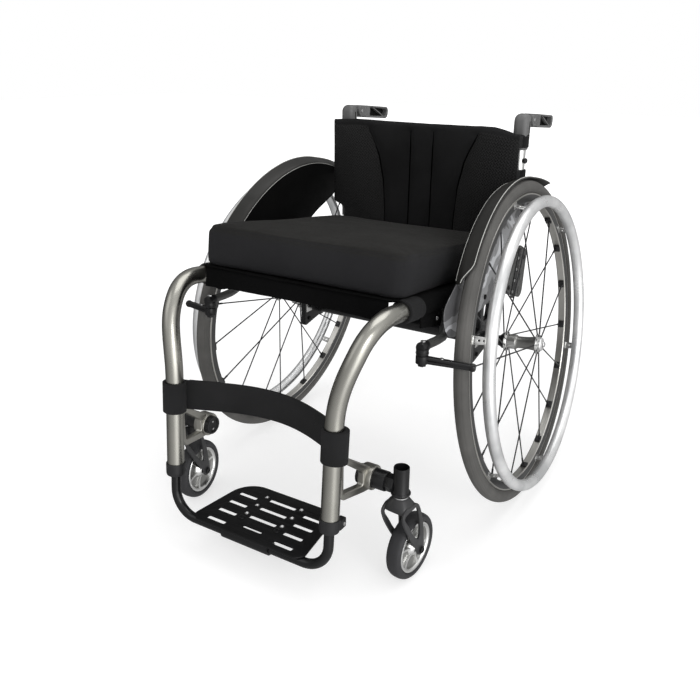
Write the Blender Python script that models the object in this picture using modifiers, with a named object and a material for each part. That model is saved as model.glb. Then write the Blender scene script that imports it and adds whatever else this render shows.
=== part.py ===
"""Manual wheelchair: fixed front frame, cambered quick-release wheels, outrigger casters
and a back that folds down over the seat. Metres, +Z up, the chair faces -Y.

The shapes are drawn in the chair's own frame: X across, with the sitter's left at +X,
Y = 0 on the rear axle and Z = 0 on the floor. One empty then moves the whole chair so
that the middle of its length stands over the world's origin."""

import math

import bmesh
import bpy
from mathutils import Matrix, Vector

# Gap between pieces that touch or slide on each other
GAP = 0.0003
SIDES = {"left": 1, "right": -1}

# Rear wheels
REAR_RADIUS = 0.300
REAR_TYRE_WIDTH = 0.0276
CAMBER = math.radians(6.0)
HALF_TRACK = 0.2665
TYRE_HEIGHT = 0.0228
RIM_DEPTH = 0.0187
RIM_WIDTH = 0.021
RIM_CHAMFER = 0.004
WHEEL_STEPS = 30
SPOKES_PER_SIDE = 9
SPOKE_RADIUS = 0.0011
INNER_SPOKE_LEAD = math.radians(35.0)
SPOKE_PHASE = math.radians(21.5)
HUB_FLANGE_RADIUS = 0.0245
HUB_FLANGE_OFFSET = 0.030
HUB_FLANGE_THICKNESS = 0.003
HUB_BARREL_RADIUS = 0.013
HUB_INNER_END = 0.0395
HUB_OUTER_END = 0.033
HANDRIM_RADIUS = 0.262
HANDRIM_TUBE_RADIUS = 0.0105
HANDRIM_OFFSET = 0.036
HANDRIM_TABS = 6
TAB_PHASE = math.radians(11.5)
TAB_WIDTH = 0.014
TAB_THICKNESS = 0.004

# Quick-release axle, its head and its button
AXLE_RADIUS = 0.00635
AXLE_INNER_END = 0.080
AXLE_HEAD_RADIUS = 0.0125
AXLE_HEAD_THICKNESS = 0.006
BUTTON_RADIUS = 0.0052
BUTTON_PROUD = 0.0048
BUTTON_TRAVEL = 0.0035
BUTTON_DEPTH = 0.010

# Frame tubes: an upright front leg, a knee and a seat rail that falls to the rear
TUBE_RADIUS = 0.0143
LEG_X = 0.154
LEG_FOOT_Y = -0.4945
LEG_FOOT_Z = 0.146
LEG_TOP_Z = 0.300
LEG_LEAN = 0.0775
KNEE = Vector((0.1755, -0.4550, 0.4095))
RAIL_X = 0.190
RAIL_FRONT_Y = -0.375
RAIL_FRONT_Z = 0.4465
RAIL_FALL = 0.1235
RAIL_REAR_Y = 0.095
KNEE_WAY = Vector((0.20, 0.52, 0.83)).normalized()
LEG_PULL = 0.048
KNEE_LOWER_PULL = 0.034
KNEE_UPPER_PULL = 0.030
RAIL_PULL = 0.040

# Camber tube between the wheels, with its plugs and hangers
CAMBER_TUBE_RADIUS = 0.0143
CAMBER_TUBE_WALL = 0.0022
CAMBER_STUB = 0.02234
PLUG_COLLAR = 0.004
PLUG_DEPTH = 0.022
SLEEVE_RADIUS = 0.0095
HANGER_THICKNESS = 0.012
HANGER_FRONT_Y = -0.062
HANGER_REAR_Y = 0.036
HANGER_RING_RADIUS = 0.0205
SADDLE_WIDTH = 0.028
SADDLE_TOP = 0.0095
SADDLE_DEPTH = 0.012
SADDLE_BEVEL = 0.002
HANGER_SADDLE_LENGTH = 0.092
HANGER_SADDLE_Y = -0.008
HANGER_TOP_FRONT_Y = -0.052
HANGER_FRONT_NECK = [(-0.040, 0.345), (-0.036, 0.322)]
HANGER_LUG_TOP_Z = 0.318
HANGER_LUG_BOTTOM_Z = 0.262
HANGER_REAR_NECK = (0.020, 0.345)
HANGER_BOLTS = [(-0.049, 0.304), (-0.049, 0.276)]
HANGER_BOLT_RADIUS = 0.0035
HANGER_WINDOW = [(-0.026, 0.366), (0.014, 0.362), (0.008, 0.334), (-0.024, 0.334)]
HANGER_WINDOW_CORNER = 0.005
SLEEVE_BORE_REACH = 0.110

# Seat
SLING_THICKNESS = 0.0027
SLING_FRONT_Y = -0.372
SLING_REAR_Y = 0.010
SLING_WRAP_END = math.radians(-30.0)
VALANCE_DEPTH = 0.034
CUSHION_WIDTH = 0.372
CUSHION_LENGTH = 0.410
CUSHION_THICKNESS = 0.066
CUSHION_FRONT_Y = -0.356
CUSHION_CROWN = 0.006
CUSHION_WAIST = 0.007

# Back
POST_Y = 0.1165
POST_RADIUS = 0.011
FOLD_Z = 0.490
POST_TOP_Z = 0.664
POST_FOOT_RISE = 0.0135
STUB_FOOT_Z = 0.386
TONGUE_THICKNESS = 0.0084
TONGUE_RADIUS = 0.0095
HINGE_SLOT_DEPTH = 0.014
HINGE_PIN_RADIUS = 0.004
BRACKET_THICKNESS = 0.004
BRACKET_CORNERS = [(0.047, 0.373), (0.150, 0.337), (0.162, 0.436), (0.118, 0.455)]
BRACKET_CORNER_RADIUS = 0.008
BRACKET_HOLE_RADIUS = 0.0033
BRACKET_HOLE_ROWS = 3
BRACKET_FIRST_HOLE = (0.090, 0.366)
BRACKET_HOLE_PITCH = (0.040, 0.024)
BRACKET_HOLE_SHIFT = 0.006
STUB_PAD_TOP_Z = 0.444
STUB_PAD_RISE = 0.008
STUB_PAD_HALF = 0.009
BACK_BAR_RADIUS = 0.008
BACK_BAR_Z = 0.545
BACK_HALF_WIDTH = 0.2005
BACK_BOTTOM_Z = 0.456
BACK_NOTCH_Z = 0.502
BACK_NOTCH_X = 0.1770
BACK_TOP_Z = 0.681
BACK_EDGE_Y = 0.0755
BACK_THICKNESS = 0.0265
BACK_BOW = 0.008
BACK_COLUMNS = [4, 3, 3, 3, 4]
BACK_MIDDLE_SEAMS = (-0.0235, 0.0250)
BACK_OUTER_SEAM = [(0.0765, 0.456), (0.0780, 0.510), (0.0860, 0.570), (0.1060, 0.640), (0.1215, 0.681)]
BACK_YOKE_Z = 0.668
BACK_TOP_DIP = 0.004
SEAM_DEPTH = 0.0035
WRAP_THICKNESS = 0.0042
WRAP_SPANS = [(0.515, 0.531), (0.559, 0.601)]

# Push handles, folding down behind the posts
HANDLE_SLEEVE_FOOT_Z = 0.638
HANDLE_SLEEVE_RADIUS = 0.0138
HANDLE_TOP_Z = 0.7035
HANDLE_HINGE_Y = 0.1455
HANDLE_HINGE_Z = 0.6905
HANDLE_HALF_WIDTH = 0.0145
HANDLE_TONGUE_HALF = 0.0055
HANDLE_CHEEK_RADIUS = 0.0115
HANDLE_PIN_RADIUS = 0.0032
HANDLE_END_Y = 0.270
HANDLE_DROP = 0.075
GRIP_HEIGHT = 0.025

# Side guard with its mudguard
GUARD_OFFSET = 0.0225
GUARD_THICKNESS = 0.003
GUARD_ARC_RADIUS = 0.303
FENDER_RADIUS = 0.3180
FENDER_FOLD_RADIUS = 0.013
FENDER_REACH = 0.012
FENDER_THICKNESS = 0.002
FENDER_STEPS = 12
FENDER_START = math.radians(33.0)
FENDER_END = math.radians(119.0)
GUARD_LOBE = [
    (0.269, 0.1500), (0.285, 0.1400), (0.2905, 0.1280), (0.288, 0.1110), (0.278, 0.0970),
    (0.263, 0.0895), (0.244, 0.0890), (0.160, 0.1010), (0.106, 0.1080),
]
GUARD_REAR = [(0.072, 0.1300), (0.022, 0.1660), (-0.028, 0.2070), (-0.066, 0.2420), (-0.112, 0.2780)]
FENDER_LAP = 0.006
STANDOFF_RADIUS = 0.007
STANDOFF_PLACES = [-0.205, -0.128]

# Casters
CASTER_RADIUS = 0.0555
CASTER_WIDTH = 0.026
CASTER_STEM_X = 0.2235
CASTER_STEM_Y = -0.401
CASTER_TRAIL = 0.035
CASTER_SWIVEL_AT_REST = {"left": math.radians(-5.5), "right": math.radians(6.7)}
CASTER_RIM_RADIUS = 0.0435
CASTER_STEPS = 18
CASTER_AXLE_RADIUS = 0.004
HOUSING_RADIUS = 0.0125
HOUSING_BOTTOM_Z = 0.168
HOUSING_TOP_Z = 0.2215
STEM_RADIUS = 0.006
STEM_TOP_Z = 0.205
BARREL_Z = 0.183
BARREL_RADIUS = 0.0175
BARREL_INNER_X = 0.150
BARREL_OUTER_X = 0.200
ADAPTER_RADIUS = 0.0145
BOSS_RADIUS = 0.0225
BOSS_WIDTH = 0.022
BOSS_X = 0.168
BRACKET_TOP_Z = 0.2465
STRUT_THICKNESS = 0.012
STRUT_FOOT_Z = 0.182
STRUT_HEEL = (0.008, 0.173)
STRUT_BOTTOM_Z = (0.165, 0.164)
STRUT_BOSS_TOP_Z = 0.203
STRUT_SHOULDER = 0.011
STRUT_WALL = 0.009
STRUT_WINDOW_Z = (0.184, 0.177, 0.200, 0.236)
STRUT_WINDOW_END = 0.023
FORK_INNER_HALF = 0.0165
FORK_THICKNESS = 0.0045
FORK_CROWN_TOP_Z = 0.1648
FORK_CROWN_DEPTH = 0.016
FORK_CROWN_HALF_LENGTH = 0.019
FORK_EYE_RADIUS = 0.0090
FORK_NECK_RADIUS = 0.0098
FORK_FRONT = [(-0.018, 0.1615), (-0.0235, 0.150), (-0.0205, 0.134), (-0.002, 0.098), (0.014, 0.074)]
FORK_REAR = [(0.041, 0.088), (0.036, 0.112), (0.028, 0.140), (0.018, 0.1615)]
FORK_WINDOW = [(-0.013, 0.142), (0.016, 0.143), (0.026, 0.112), (0.027, 0.080), (0.010, 0.096)]
CASTER_BOLT_RADIUS = 0.0068
CASTER_HUB_RADIUS = 0.0125
CASTER_WEB_HALF = 0.004
CASTER_LIP = 0.006

# Footrest
HOOP_RADIUS = 0.008
HOOP_BOTTOM_Z = 0.062
HOOP_BEND = 0.044
HOOP_LEG_TOP_Z = 0.215
FOOTREST_RISE = 0.020
COLLAR_RADIUS = 0.0162
COLLAR_BOTTOM_Z = 0.132
COLLAR_TOP_Z = 0.154
PLATE_THICKNESS = 0.003
PLATE_FRONT_HALF = 0.112
PLATE_REAR_HALF = 0.096
PLATE_FRONT_Y = -0.5125
PLATE_REAR_Y = -0.376
PLATE_CORNER = 0.045
SLOT_WIDTH = 0.0085
SLOT_PITCH = 0.0280
SIDE_SLOT_X = 0.0675
SIDE_SLOT_LENGTH = 0.037
SIDE_SLOT_REAR_Y = -0.4125
MIDDLE_SLOT_LENGTH = 0.054
MIDDLE_SLOT_REAR_Y = -0.4035
LAST_SLOT_LENGTH = 0.038
LAST_SLOT_WIDTH = 0.0055
CLAMP_HALF = 0.047
CLAMP_RADIUS = 0.0112
CLAMP_TONGUE_Y = -0.4910

# Calf strap
STRAP_BOTTOM_Z = 0.2495
STRAP_TOP_Z = 0.2985
STRAP_THICKNESS = 0.0032
STRAP_BOW = 0.050

# Brakes
BRAKE_SADDLE_Y = -0.218
BRAKE_SADDLE_LENGTH = 0.040
BRAKE_PIVOT = Vector((0.212, -0.3235, 0.0))
BRAKE_PLATE_BOTTOM_Z = 0.3705
BRAKE_PLATE_THICKNESS = 0.008
BRAKE_EYE_RADIUS = 0.0100
BRAKE_EYE_HEIGHT = 0.0135
BRAKE_PIN_RADIUS = 0.0035
BRAKE_ROD_RADIUS = 0.0048
BRAKE_PAD_RADIUS = 0.0064
BRAKE_ROD_END = Vector((0.2862, -0.2995, 0.3575))

# Colours: base colour, roughness, metallic
FINISHES = {
    "champagne_metal": ((0.47, 0.45, 0.40), 0.32, 1.0),
    "silver_metal": ((0.72, 0.72, 0.71), 0.30, 1.0),
    "white_handrim": ((0.86, 0.87, 0.87), 0.25, 0.3),
    "black_metal": ((0.025, 0.025, 0.028), 0.38, 0.6),
    "black_plastic": ((0.03, 0.03, 0.032), 0.50, 0.0),
    "grey_plastic": ((0.12, 0.12, 0.12), 0.50, 0.0),
    "tyre_grey": ((0.10, 0.10, 0.10), 0.75, 0.0),
    "tyre_black": ((0.03, 0.03, 0.032), 0.70, 0.0),
    "guard_grey": ((0.25, 0.25, 0.25), 0.45, 0.0),
    "black_fabric": ((0.018, 0.018, 0.018), 0.90, 0.0),
    "cushion_fabric": ((0.035, 0.034, 0.036), 0.85, 0.0),
}

WELD = 0.00001


# Derived places that several pieces share

RIM_SEAT_RADIUS = REAR_RADIUS - TYRE_HEIGHT
CAMBER_TUBE_HALF = HALF_TRACK - (HUB_INNER_END + CAMBER_STUB) * math.cos(CAMBER)
HUB_Z = (REAR_RADIUS - REAR_TYRE_WIDTH / 2) * math.cos(CAMBER) + REAR_TYRE_WIDTH / 2
LEG_UP = Vector((0.0, LEG_LEAN, 1.0)).normalized()
RAIL_BACK = Vector((0.0, 1.0, -RAIL_FALL)).normalized()
RAIL_SLOPE = math.atan(RAIL_FALL)
CAMBER_TUBE_Z = HUB_Z - (HALF_TRACK - CAMBER_TUBE_HALF) * math.tan(CAMBER)
PLATE_BOTTOM_Z = HOOP_BOTTOM_Z + HOOP_RADIUS + GAP


def leg_y(z):
    """Y of the front leg's centre line at height z."""
    return LEG_FOOT_Y + LEG_LEAN * (z - LEG_FOOT_Z)


def rail_z(y):
    """Height of the seat rail's centre line at y."""
    return RAIL_FRONT_Z - RAIL_FALL * (y - RAIL_FRONT_Y)


FRONT_Y = min(PLATE_FRONT_Y, leg_y(HOOP_BOTTOM_Z) - CLAMP_RADIUS)
REAR_Y = REAR_RADIUS
MIDDLE_Y = (FRONT_Y + REAR_Y) / 2


# Scene set-up

def clear_scene():
    for obj in list(bpy.data.objects):
        bpy.data.objects.remove(obj, do_unlink=True)


def new_collection(name):
    made = bpy.data.collections.new(name)
    bpy.context.scene.collection.children.link(made)
    return made


def make_materials():
    for name, (colour, roughness, metallic) in FINISHES.items():
        material = bpy.data.materials.new(name)
        material.use_nodes = True
        shader = material.node_tree.nodes["Principled BSDF"]
        shader.inputs["Base Color"].default_value = (*colour, 1.0)
        shader.inputs["Roughness"].default_value = roughness
        shader.inputs["Metallic"].default_value = metallic
        material.diffuse_color = (*colour, 1.0)


def make_pivot(name, place=(0, 0, 0)):
    """An empty at a place in the chair's frame. Pieces that move together hang from it."""
    pivot = bpy.data.objects.new(name, None)
    pivot.empty_display_size = 0.05
    parts.objects.link(pivot)
    if chair is not None:
        pivot.parent = chair
    pivot.location = place
    return pivot


def hang(obj, pivot):
    """Parents the object and keeps its own numbers in the chair's frame."""
    pivot = pivot or chair
    obj.parent = pivot
    if pivot is not chair:
        obj.matrix_parent_inverse = Matrix.Translation(-pivot.location)


def add_piece(name, mesh, finish, place=None, pivot=None):
    piece = bpy.data.objects.new(name, mesh)
    mesh.materials.clear()
    mesh.materials.append(bpy.data.materials[finish])
    parts.objects.link(piece)
    if place is not None:
        piece.matrix_basis = place
    hang(piece, pivot)
    return piece


def add_tool(piece, mesh, operation, place=None):
    """A hidden solid that a Boolean joins to the piece or takes from it."""
    tool = bpy.data.objects.new(f"{piece.name}_{operation.lower()}", mesh)
    tool.hide_render = True
    tool.display_type = "WIRE"
    cutters.objects.link(tool)
    if place is not None:
        tool.matrix_basis = place
    tool.parent = chair
    change = piece.modifiers.new(operation.title(), "BOOLEAN")
    change.operation = operation
    change.object = tool
    change.solver = "EXACT"
    return tool


def fuse(piece, mesh, place=None):
    return add_tool(piece, mesh, "UNION", place)


def cut(piece, mesh, place=None):
    return add_tool(piece, mesh, "DIFFERENCE", place)


# Shapes

def mesh_from(bm, name="shape"):
    mesh = bpy.data.meshes.new(name)
    bm.normal_update()
    bm.to_mesh(mesh)
    bm.free()
    return mesh


def shade(mesh, angle=40.0):
    mesh.shade_smooth()
    mesh.set_sharp_from_angle(angle=math.radians(angle))
    return mesh


def along(start, end):
    """A matrix that stands local Z on the line from start to end, halfway along."""
    start, end = Vector(start), Vector(end)
    turn = (end - start).to_track_quat("Z", "Y").to_matrix().to_4x4()
    return Matrix.Translation((start + end) / 2) @ turn


def add_rod(bm, start, end, radius, end_radius=None, sides=16):
    length = (Vector(end) - Vector(start)).length
    bmesh.ops.create_cone(
        bm,
        cap_ends=True,
        segments=sides,
        radius1=radius,
        radius2=radius if end_radius is None else end_radius,
        depth=length,
        matrix=along(start, end),
    )


def rod(start, end, radius, end_radius=None, sides=14):
    bm = bmesh.new()
    add_rod(bm, start, end, radius, end_radius, sides)
    return shade(mesh_from(bm, "rod"))


def bore_tool(start, end, radius, sides=14):
    """A cutter whose flats, and not its corners, lie at the radius."""
    return rod(start, end, radius / math.cos(math.pi / sides), sides=sides)


def block(low, high, bevel=0.0, steps=1):
    low, high = Vector(low), Vector(high)
    bm = bmesh.new()
    bmesh.ops.create_cube(bm, size=1.0)
    bmesh.ops.scale(bm, vec=high - low, verts=bm.verts)
    bmesh.ops.translate(bm, vec=(low + high) / 2, verts=bm.verts)
    if bevel > 0:
        bmesh.ops.bevel(
            bm, geom=bm.edges[:], offset=bevel, segments=steps, affect="EDGES", profile=0.5
        )
    return shade(mesh_from(bm, "block"), 50.0)


def profile_mesh(profile, on_axis):
    """An open or closed run of (radius, height) points, ordered so that a Screw faces outwards."""
    ends = profile + ([(0.0, profile[-1][1]), (0.0, profile[0][1])] if on_axis else [])
    area = sum(a[0] * b[1] - b[0] * a[1] for a, b in zip(ends, ends[1:] + ends[:1]))
    if area > 0:
        profile = profile[::-1]
    bm = bmesh.new()
    rim = [bm.verts.new((radius, 0.0, height)) for radius, height in profile]
    pairs = list(zip(rim, rim[1:])) + ([] if on_axis else [(rim[-1], rim[0])])
    for first, second in pairs:
        bm.edges.new((first, second))
    return mesh_from(bm, "profile")


def add_turned(name, profile, steps, finish, place=None, pivot=None, on_axis=False):
    """A turned piece: its profile and a Screw about local Z."""
    piece = add_piece(name, profile_mesh(profile, on_axis), finish, place, pivot)
    add_screw(piece, steps)
    return piece


def add_screw(piece, steps, angle=math.tau):
    screw = piece.modifiers.new("Turn", "SCREW")
    screw.axis = "Z"
    screw.angle = angle
    screw.steps = steps
    screw.render_steps = steps
    screw.use_merge_vertices = True
    screw.merge_threshold = 0.0001
    screw.use_smooth_shade = True


def solid_of(curve):
    """The closed mesh of a curve, with its caps welded on."""
    guide = bpy.data.objects.new("guide", curve)
    bpy.context.scene.collection.objects.link(guide)
    graph = bpy.context.evaluated_depsgraph_get()
    mesh = bpy.data.meshes.new_from_object(guide.evaluated_get(graph))
    bpy.data.objects.remove(guide)
    bm = bmesh.new()
    bm.from_mesh(mesh)
    bmesh.ops.remove_doubles(bm, verts=bm.verts, dist=WELD)
    bmesh.ops.recalc_face_normals(bm, faces=bm.faces)
    bm.to_mesh(mesh)
    bm.free()
    return mesh


def plate(loops, thickness, bevel=0.0):
    """A flat solid in local XY from an outline and its holes, centred on Z = 0."""
    curve = bpy.data.curves.new("outline", "CURVE")
    curve.dimensions = "2D"
    curve.fill_mode = "BOTH"
    curve.extrude = thickness / 2 - bevel
    curve.bevel_depth = bevel
    curve.bevel_resolution = 0
    curve.offset = -bevel
    for loop in loops:
        spline = curve.splines.new("POLY")
        spline.points.add(len(loop) - 1)
        for point, (x, y) in zip(spline.points, loop):
            point.co = (x, y, 0.0, 1.0)
        spline.use_cyclic_u = True
    return shade(solid_of(curve), 35.0)


def tube(points, radius, roundness=2, closed=False):
    """A round bar along the points."""
    curve = bpy.data.curves.new("route", "CURVE")
    curve.dimensions = "3D"
    curve.bevel_depth = radius
    curve.bevel_resolution = roundness
    curve.use_fill_caps = True
    spline = curve.splines.new("POLY")
    spline.points.add(len(points) - 1)
    for point, place in zip(spline.points, points):
        point.co = (*place, 1.0)
    spline.use_cyclic_u = closed
    return shade(solid_of(curve))


def arc(centre, radius, start, end, count):
    """Points on a circle in a plane, from one angle to the other."""
    turns = [start + (end - start) * i / (count - 1) for i in range(count)]
    return [
        (centre[0] + radius * math.cos(turn), centre[1] + radius * math.sin(turn))
        for turn in turns
    ]


def rounded(corners, radius, count=4):
    """A closed outline with its corners rounded."""
    made = []
    for i, corner in enumerate(corners):
        here = Vector(corner)
        before = (Vector(corners[i - 1]) - here).normalized()
        after = (Vector(corners[(i + 1) % len(corners)]) - here).normalized()
        half = before.angle(after) / 2
        middle = here + (before + after).normalized() * radius / math.sin(half)
        start = here + before * radius / math.tan(half)
        end = here + after * radius / math.tan(half)
        first, last = start - middle, end - middle
        for step in range(count):
            share = step / (count - 1)
            swing = first.lerp(last, share).normalized() * radius
            made.append(tuple(middle + swing))
    return made


def slot(centre, length, width, count=3):
    """A round-ended slot along local X."""
    x, y = centre
    reach = (length - width) / 2
    right = arc((x + reach, y), width / 2, -math.pi / 2, math.pi / 2, count)
    left = arc((x - reach, y), width / 2, math.pi / 2, 1.5 * math.pi, count)
    return right + left


def circle(centre, radius, count=12, start=0.2):
    """A closed ring of points. Its start keeps the points of two holes out of line."""
    return arc(centre, radius, start, start + math.tau * (count - 1) / count, count)


def bezier(start, start_pull, end_pull, end, count):
    """Points on one cubic curve, without its last point."""
    made = []
    for i in range(count):
        t = i / count
        s = 1 - t
        made.append(
            s**3 * start + 3 * s * s * t * start_pull + 3 * s * t * t * end_pull + t**3 * end
        )
    return made


def mirrored(vector, side):
    return Vector((vector[0] * side, vector[1], vector[2]))


def upright(side=1, x=0.0):
    """Stands a flat outline up: its X runs along the chair's Y, its Y runs up."""
    frame = Matrix(((0, 0, 1, 0), (1, 0, 0, 0), (0, 1, 0, 0), (0, 0, 0, 1)))
    return Matrix.Translation((side * x, 0, 0)) @ frame


def wheel_place(side, offset=0.0):
    """Local Z along the axle, pointing outwards, from the wheel's middle plane."""
    turn = Matrix.Rotation(side * (math.pi / 2 - CAMBER), 4, "Y")
    return Matrix.Translation((side * HALF_TRACK, 0, HUB_Z)) @ turn @ Matrix.Translation((0, 0, offset))


def axle_point(side, offset):
    return wheel_place(side, offset).translation


# Frame

def leg_route(side):
    foot = Vector((LEG_X, LEG_FOOT_Y, LEG_FOOT_Z))
    top = Vector((LEG_X, leg_y(LEG_TOP_Z), LEG_TOP_Z))
    front = Vector((RAIL_X, RAIL_FRONT_Y, RAIL_FRONT_Z))
    rear = Vector((RAIL_X, RAIL_REAR_Y, rail_z(RAIL_REAR_Y)))
    route = [foot]
    route += bezier(top, top + LEG_UP * LEG_PULL, KNEE - KNEE_WAY * KNEE_LOWER_PULL, KNEE, 6)
    route += bezier(KNEE, KNEE + KNEE_WAY * KNEE_UPPER_PULL, front - RAIL_BACK * RAIL_PULL, front, 6)
    route += [front, rear]
    return [mirrored(point, side) for point in route]


def make_frame_tube(name, side):
    piece = add_piece(f"frame_tube_{name}", tube(leg_route(side), TUBE_RADIUS, 2), "champagne_metal")
    reach = HOOP_LEG_TOP_Z + FOOTREST_RISE + 0.006
    low = Vector((side * LEG_X, leg_y(COLLAR_BOTTOM_Z), COLLAR_BOTTOM_Z))
    high = Vector((side * LEG_X, leg_y(reach), reach))
    cut(piece, bore_tool(low, high, HOOP_RADIUS + GAP, sides=12))


def make_camber_tube():
    outer, inner, half = CAMBER_TUBE_RADIUS, CAMBER_TUBE_RADIUS - CAMBER_TUBE_WALL, CAMBER_TUBE_HALF
    profile = [(outer, half), (outer, -half), (inner, -half), (inner, half)]
    place = Matrix.Translation((0, 0, CAMBER_TUBE_Z)) @ Matrix.Rotation(math.pi / 2, 4, "Y")
    add_turned("camber_tube", profile, 16, "black_metal", place)


def make_axle_sleeve(name, side):
    """The camber plug: straight in the tube, with a collar, and canted outside it."""
    inner = CAMBER_TUBE_RADIUS - CAMBER_TUBE_WALL - GAP
    start = CAMBER_TUBE_HALF - PLUG_DEPTH
    stop = CAMBER_TUBE_HALF + GAP
    piece = add_piece(
        f"axle_sleeve_{name}",
        rod((side * start, 0, CAMBER_TUBE_Z), (side * (stop + 0.001), 0, CAMBER_TUBE_Z), inner),
        "black_metal",
    )
    collar = rod(
        (side * stop, 0, CAMBER_TUBE_Z), (side * (stop + PLUG_COLLAR), 0, CAMBER_TUBE_Z), CAMBER_TUBE_RADIUS
    )
    fuse(piece, collar)
    stub = HUB_INNER_END + CAMBER_STUB + 0.002
    fuse(piece, rod(axle_point(side, -stub), axle_point(side, -HUB_INNER_END - GAP), SLEEVE_RADIUS))
    inner, outer = axle_point(side, -SLEEVE_BORE_REACH), axle_point(side, 0.0)
    cut(piece, bore_tool(inner, outer, AXLE_RADIUS + GAP, sides=12))


def make_axle_hanger(name, side):
    """Casting that hangs the camber tube under the seat rail."""
    top = rail_z(0.0) - TUBE_RADIUS - 0.002
    ring = HANGER_RING_RADIUS
    outline = [(y, top - RAIL_FALL * y) for y in (HANGER_REAR_Y, HANGER_TOP_FRONT_Y)]
    outline += HANGER_FRONT_NECK + [(HANGER_FRONT_Y, HANGER_LUG_TOP_Z), (HANGER_FRONT_Y, HANGER_LUG_BOTTOM_Z)]
    outline += arc((0.0, CAMBER_TUBE_Z), ring, math.radians(-115), math.radians(35), 9)
    outline += [HANGER_REAR_NECK]
    holes = [circle(place, HANGER_BOLT_RADIUS, 6, 0.2 + row) for row, place in enumerate(HANGER_BOLTS)]
    holes += [rounded(HANGER_WINDOW, HANGER_WINDOW_CORNER, 2)]
    piece = add_piece(
        f"axle_hanger_{name}",
        plate([outline] + holes, HANGER_THICKNESS),
        "black_metal",
        upright(side, RAIL_X),
    )
    axis = Vector((side * RAIL_X, HANGER_SADDLE_Y, rail_z(HANGER_SADDLE_Y)))
    half, length = SADDLE_WIDTH / 2, HANGER_SADDLE_LENGTH / 2
    saddle = block((-half, -length, -SADDLE_TOP - SADDLE_DEPTH), (half, length, -SADDLE_TOP), SADDLE_BEVEL)
    fuse(piece, saddle, Matrix.Translation(axis) @ Matrix.Rotation(-RAIL_SLOPE, 4, "X"))
    reach = RAIL_BACK * 2 * length
    cut(piece, bore_tool(axis - reach, axis + reach, TUBE_RADIUS + GAP, sides=14))
    ends = [(side * (RAIL_X + shift), 0, CAMBER_TUBE_Z) for shift in (-0.02, 0.02)]
    cut(piece, bore_tool(*ends, CAMBER_TUBE_RADIUS + GAP, sides=14))


# Seat

def seat_place(y):
    """Local frame on the seat rails: Y back along the rails, Z square to the seat."""
    return Matrix.Translation((0, y, rail_z(y))) @ Matrix.Rotation(-RAIL_SLOPE, 4, "X")


def make_sling():
    """Seat fabric over the rails, wrapped round their outer sides, with a front hem."""
    inner = TUBE_RADIUS + GAP
    outer = inner + SLING_THICKNESS
    over = arc((RAIL_X, 0), outer, SLING_WRAP_END, math.pi / 2, 8)
    under = arc((RAIL_X, 0), inner, math.pi / 2, SLING_WRAP_END, 8)
    outline = over + [(-x, z) for x, z in reversed(over)]
    outline += [(-x, z) for x, z in reversed(under)] + under
    length = (SLING_REAR_Y - SLING_FRONT_Y) / math.cos(RAIL_SLOPE)
    middle = (SLING_REAR_Y + SLING_FRONT_Y) / 2
    stand = Matrix.Rotation(math.pi / 2, 4, "X")
    piece = add_piece("seat_sling", plate([outline], length), "black_fabric", seat_place(middle) @ stand)
    half = RAIL_X - TUBE_RADIUS - 0.0012
    top = outer - SLING_THICKNESS / 2
    hem = block((-half, 0.0005, top - VALANCE_DEPTH), (half, 0.0005 + SLING_THICKNESS, top))
    fuse(piece, hem, seat_place(SLING_FRONT_Y))


def make_cushion():
    """Box cushion: a coarse cage with a crowned top and sides drawn in between corners."""
    across, deep = 4, 3
    half, length, height = CUSHION_WIDTH / 2, CUSHION_LENGTH, CUSHION_THICKNESS
    bm = bmesh.new()
    bmesh.ops.create_cube(bm, size=1.0)
    bmesh.ops.translate(bm, vec=(0.5, 0.5, 0.5), verts=bm.verts)
    for direction, cells in (((1, 0, 0), across), ((0, 1, 0), deep)):
        for i in range(1, cells):
            place = Vector(direction) * i / cells
            geometry = bm.verts[:] + bm.edges[:] + bm.faces[:]
            bmesh.ops.bisect_plane(bm, geom=geometry, plane_co=place, plane_no=direction)
    for vert in bm.verts:
        u, v, w = 2 * vert.co.x - 1, 2 * vert.co.y - 1, vert.co.z
        waist_x = 1 - CUSHION_WAIST / half * (1 - v * v)
        waist_y = 1 - CUSHION_WAIST / (length / 2) * (1 - u * u)
        crown = CUSHION_CROWN * (1 - u * u) * (1 - v * v) if w > 0.9 else 0.0
        vert.co = (
            u * half * waist_x,
            (v * waist_y + 1) * length / 2,
            w * height + crown,
        )
    crease = bm.edges.layers.float.new("crease_edge")
    for edge in bm.edges:
        if edge.calc_face_angle() > math.radians(60):
            edge[crease] = 0.72
    mesh = mesh_from(bm, "cushion")
    mesh.shade_smooth()
    rise = TUBE_RADIUS + GAP + SLING_THICKNESS + 2 * GAP
    place = seat_place(CUSHION_FRONT_Y) @ Matrix.Translation((0, 0, rise))
    piece = add_piece("seat_cushion", mesh, "cushion_fabric", place)
    smooth = piece.modifiers.new("Round", "SUBSURF")
    smooth.levels = 2
    smooth.render_levels = 2


# Back

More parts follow.
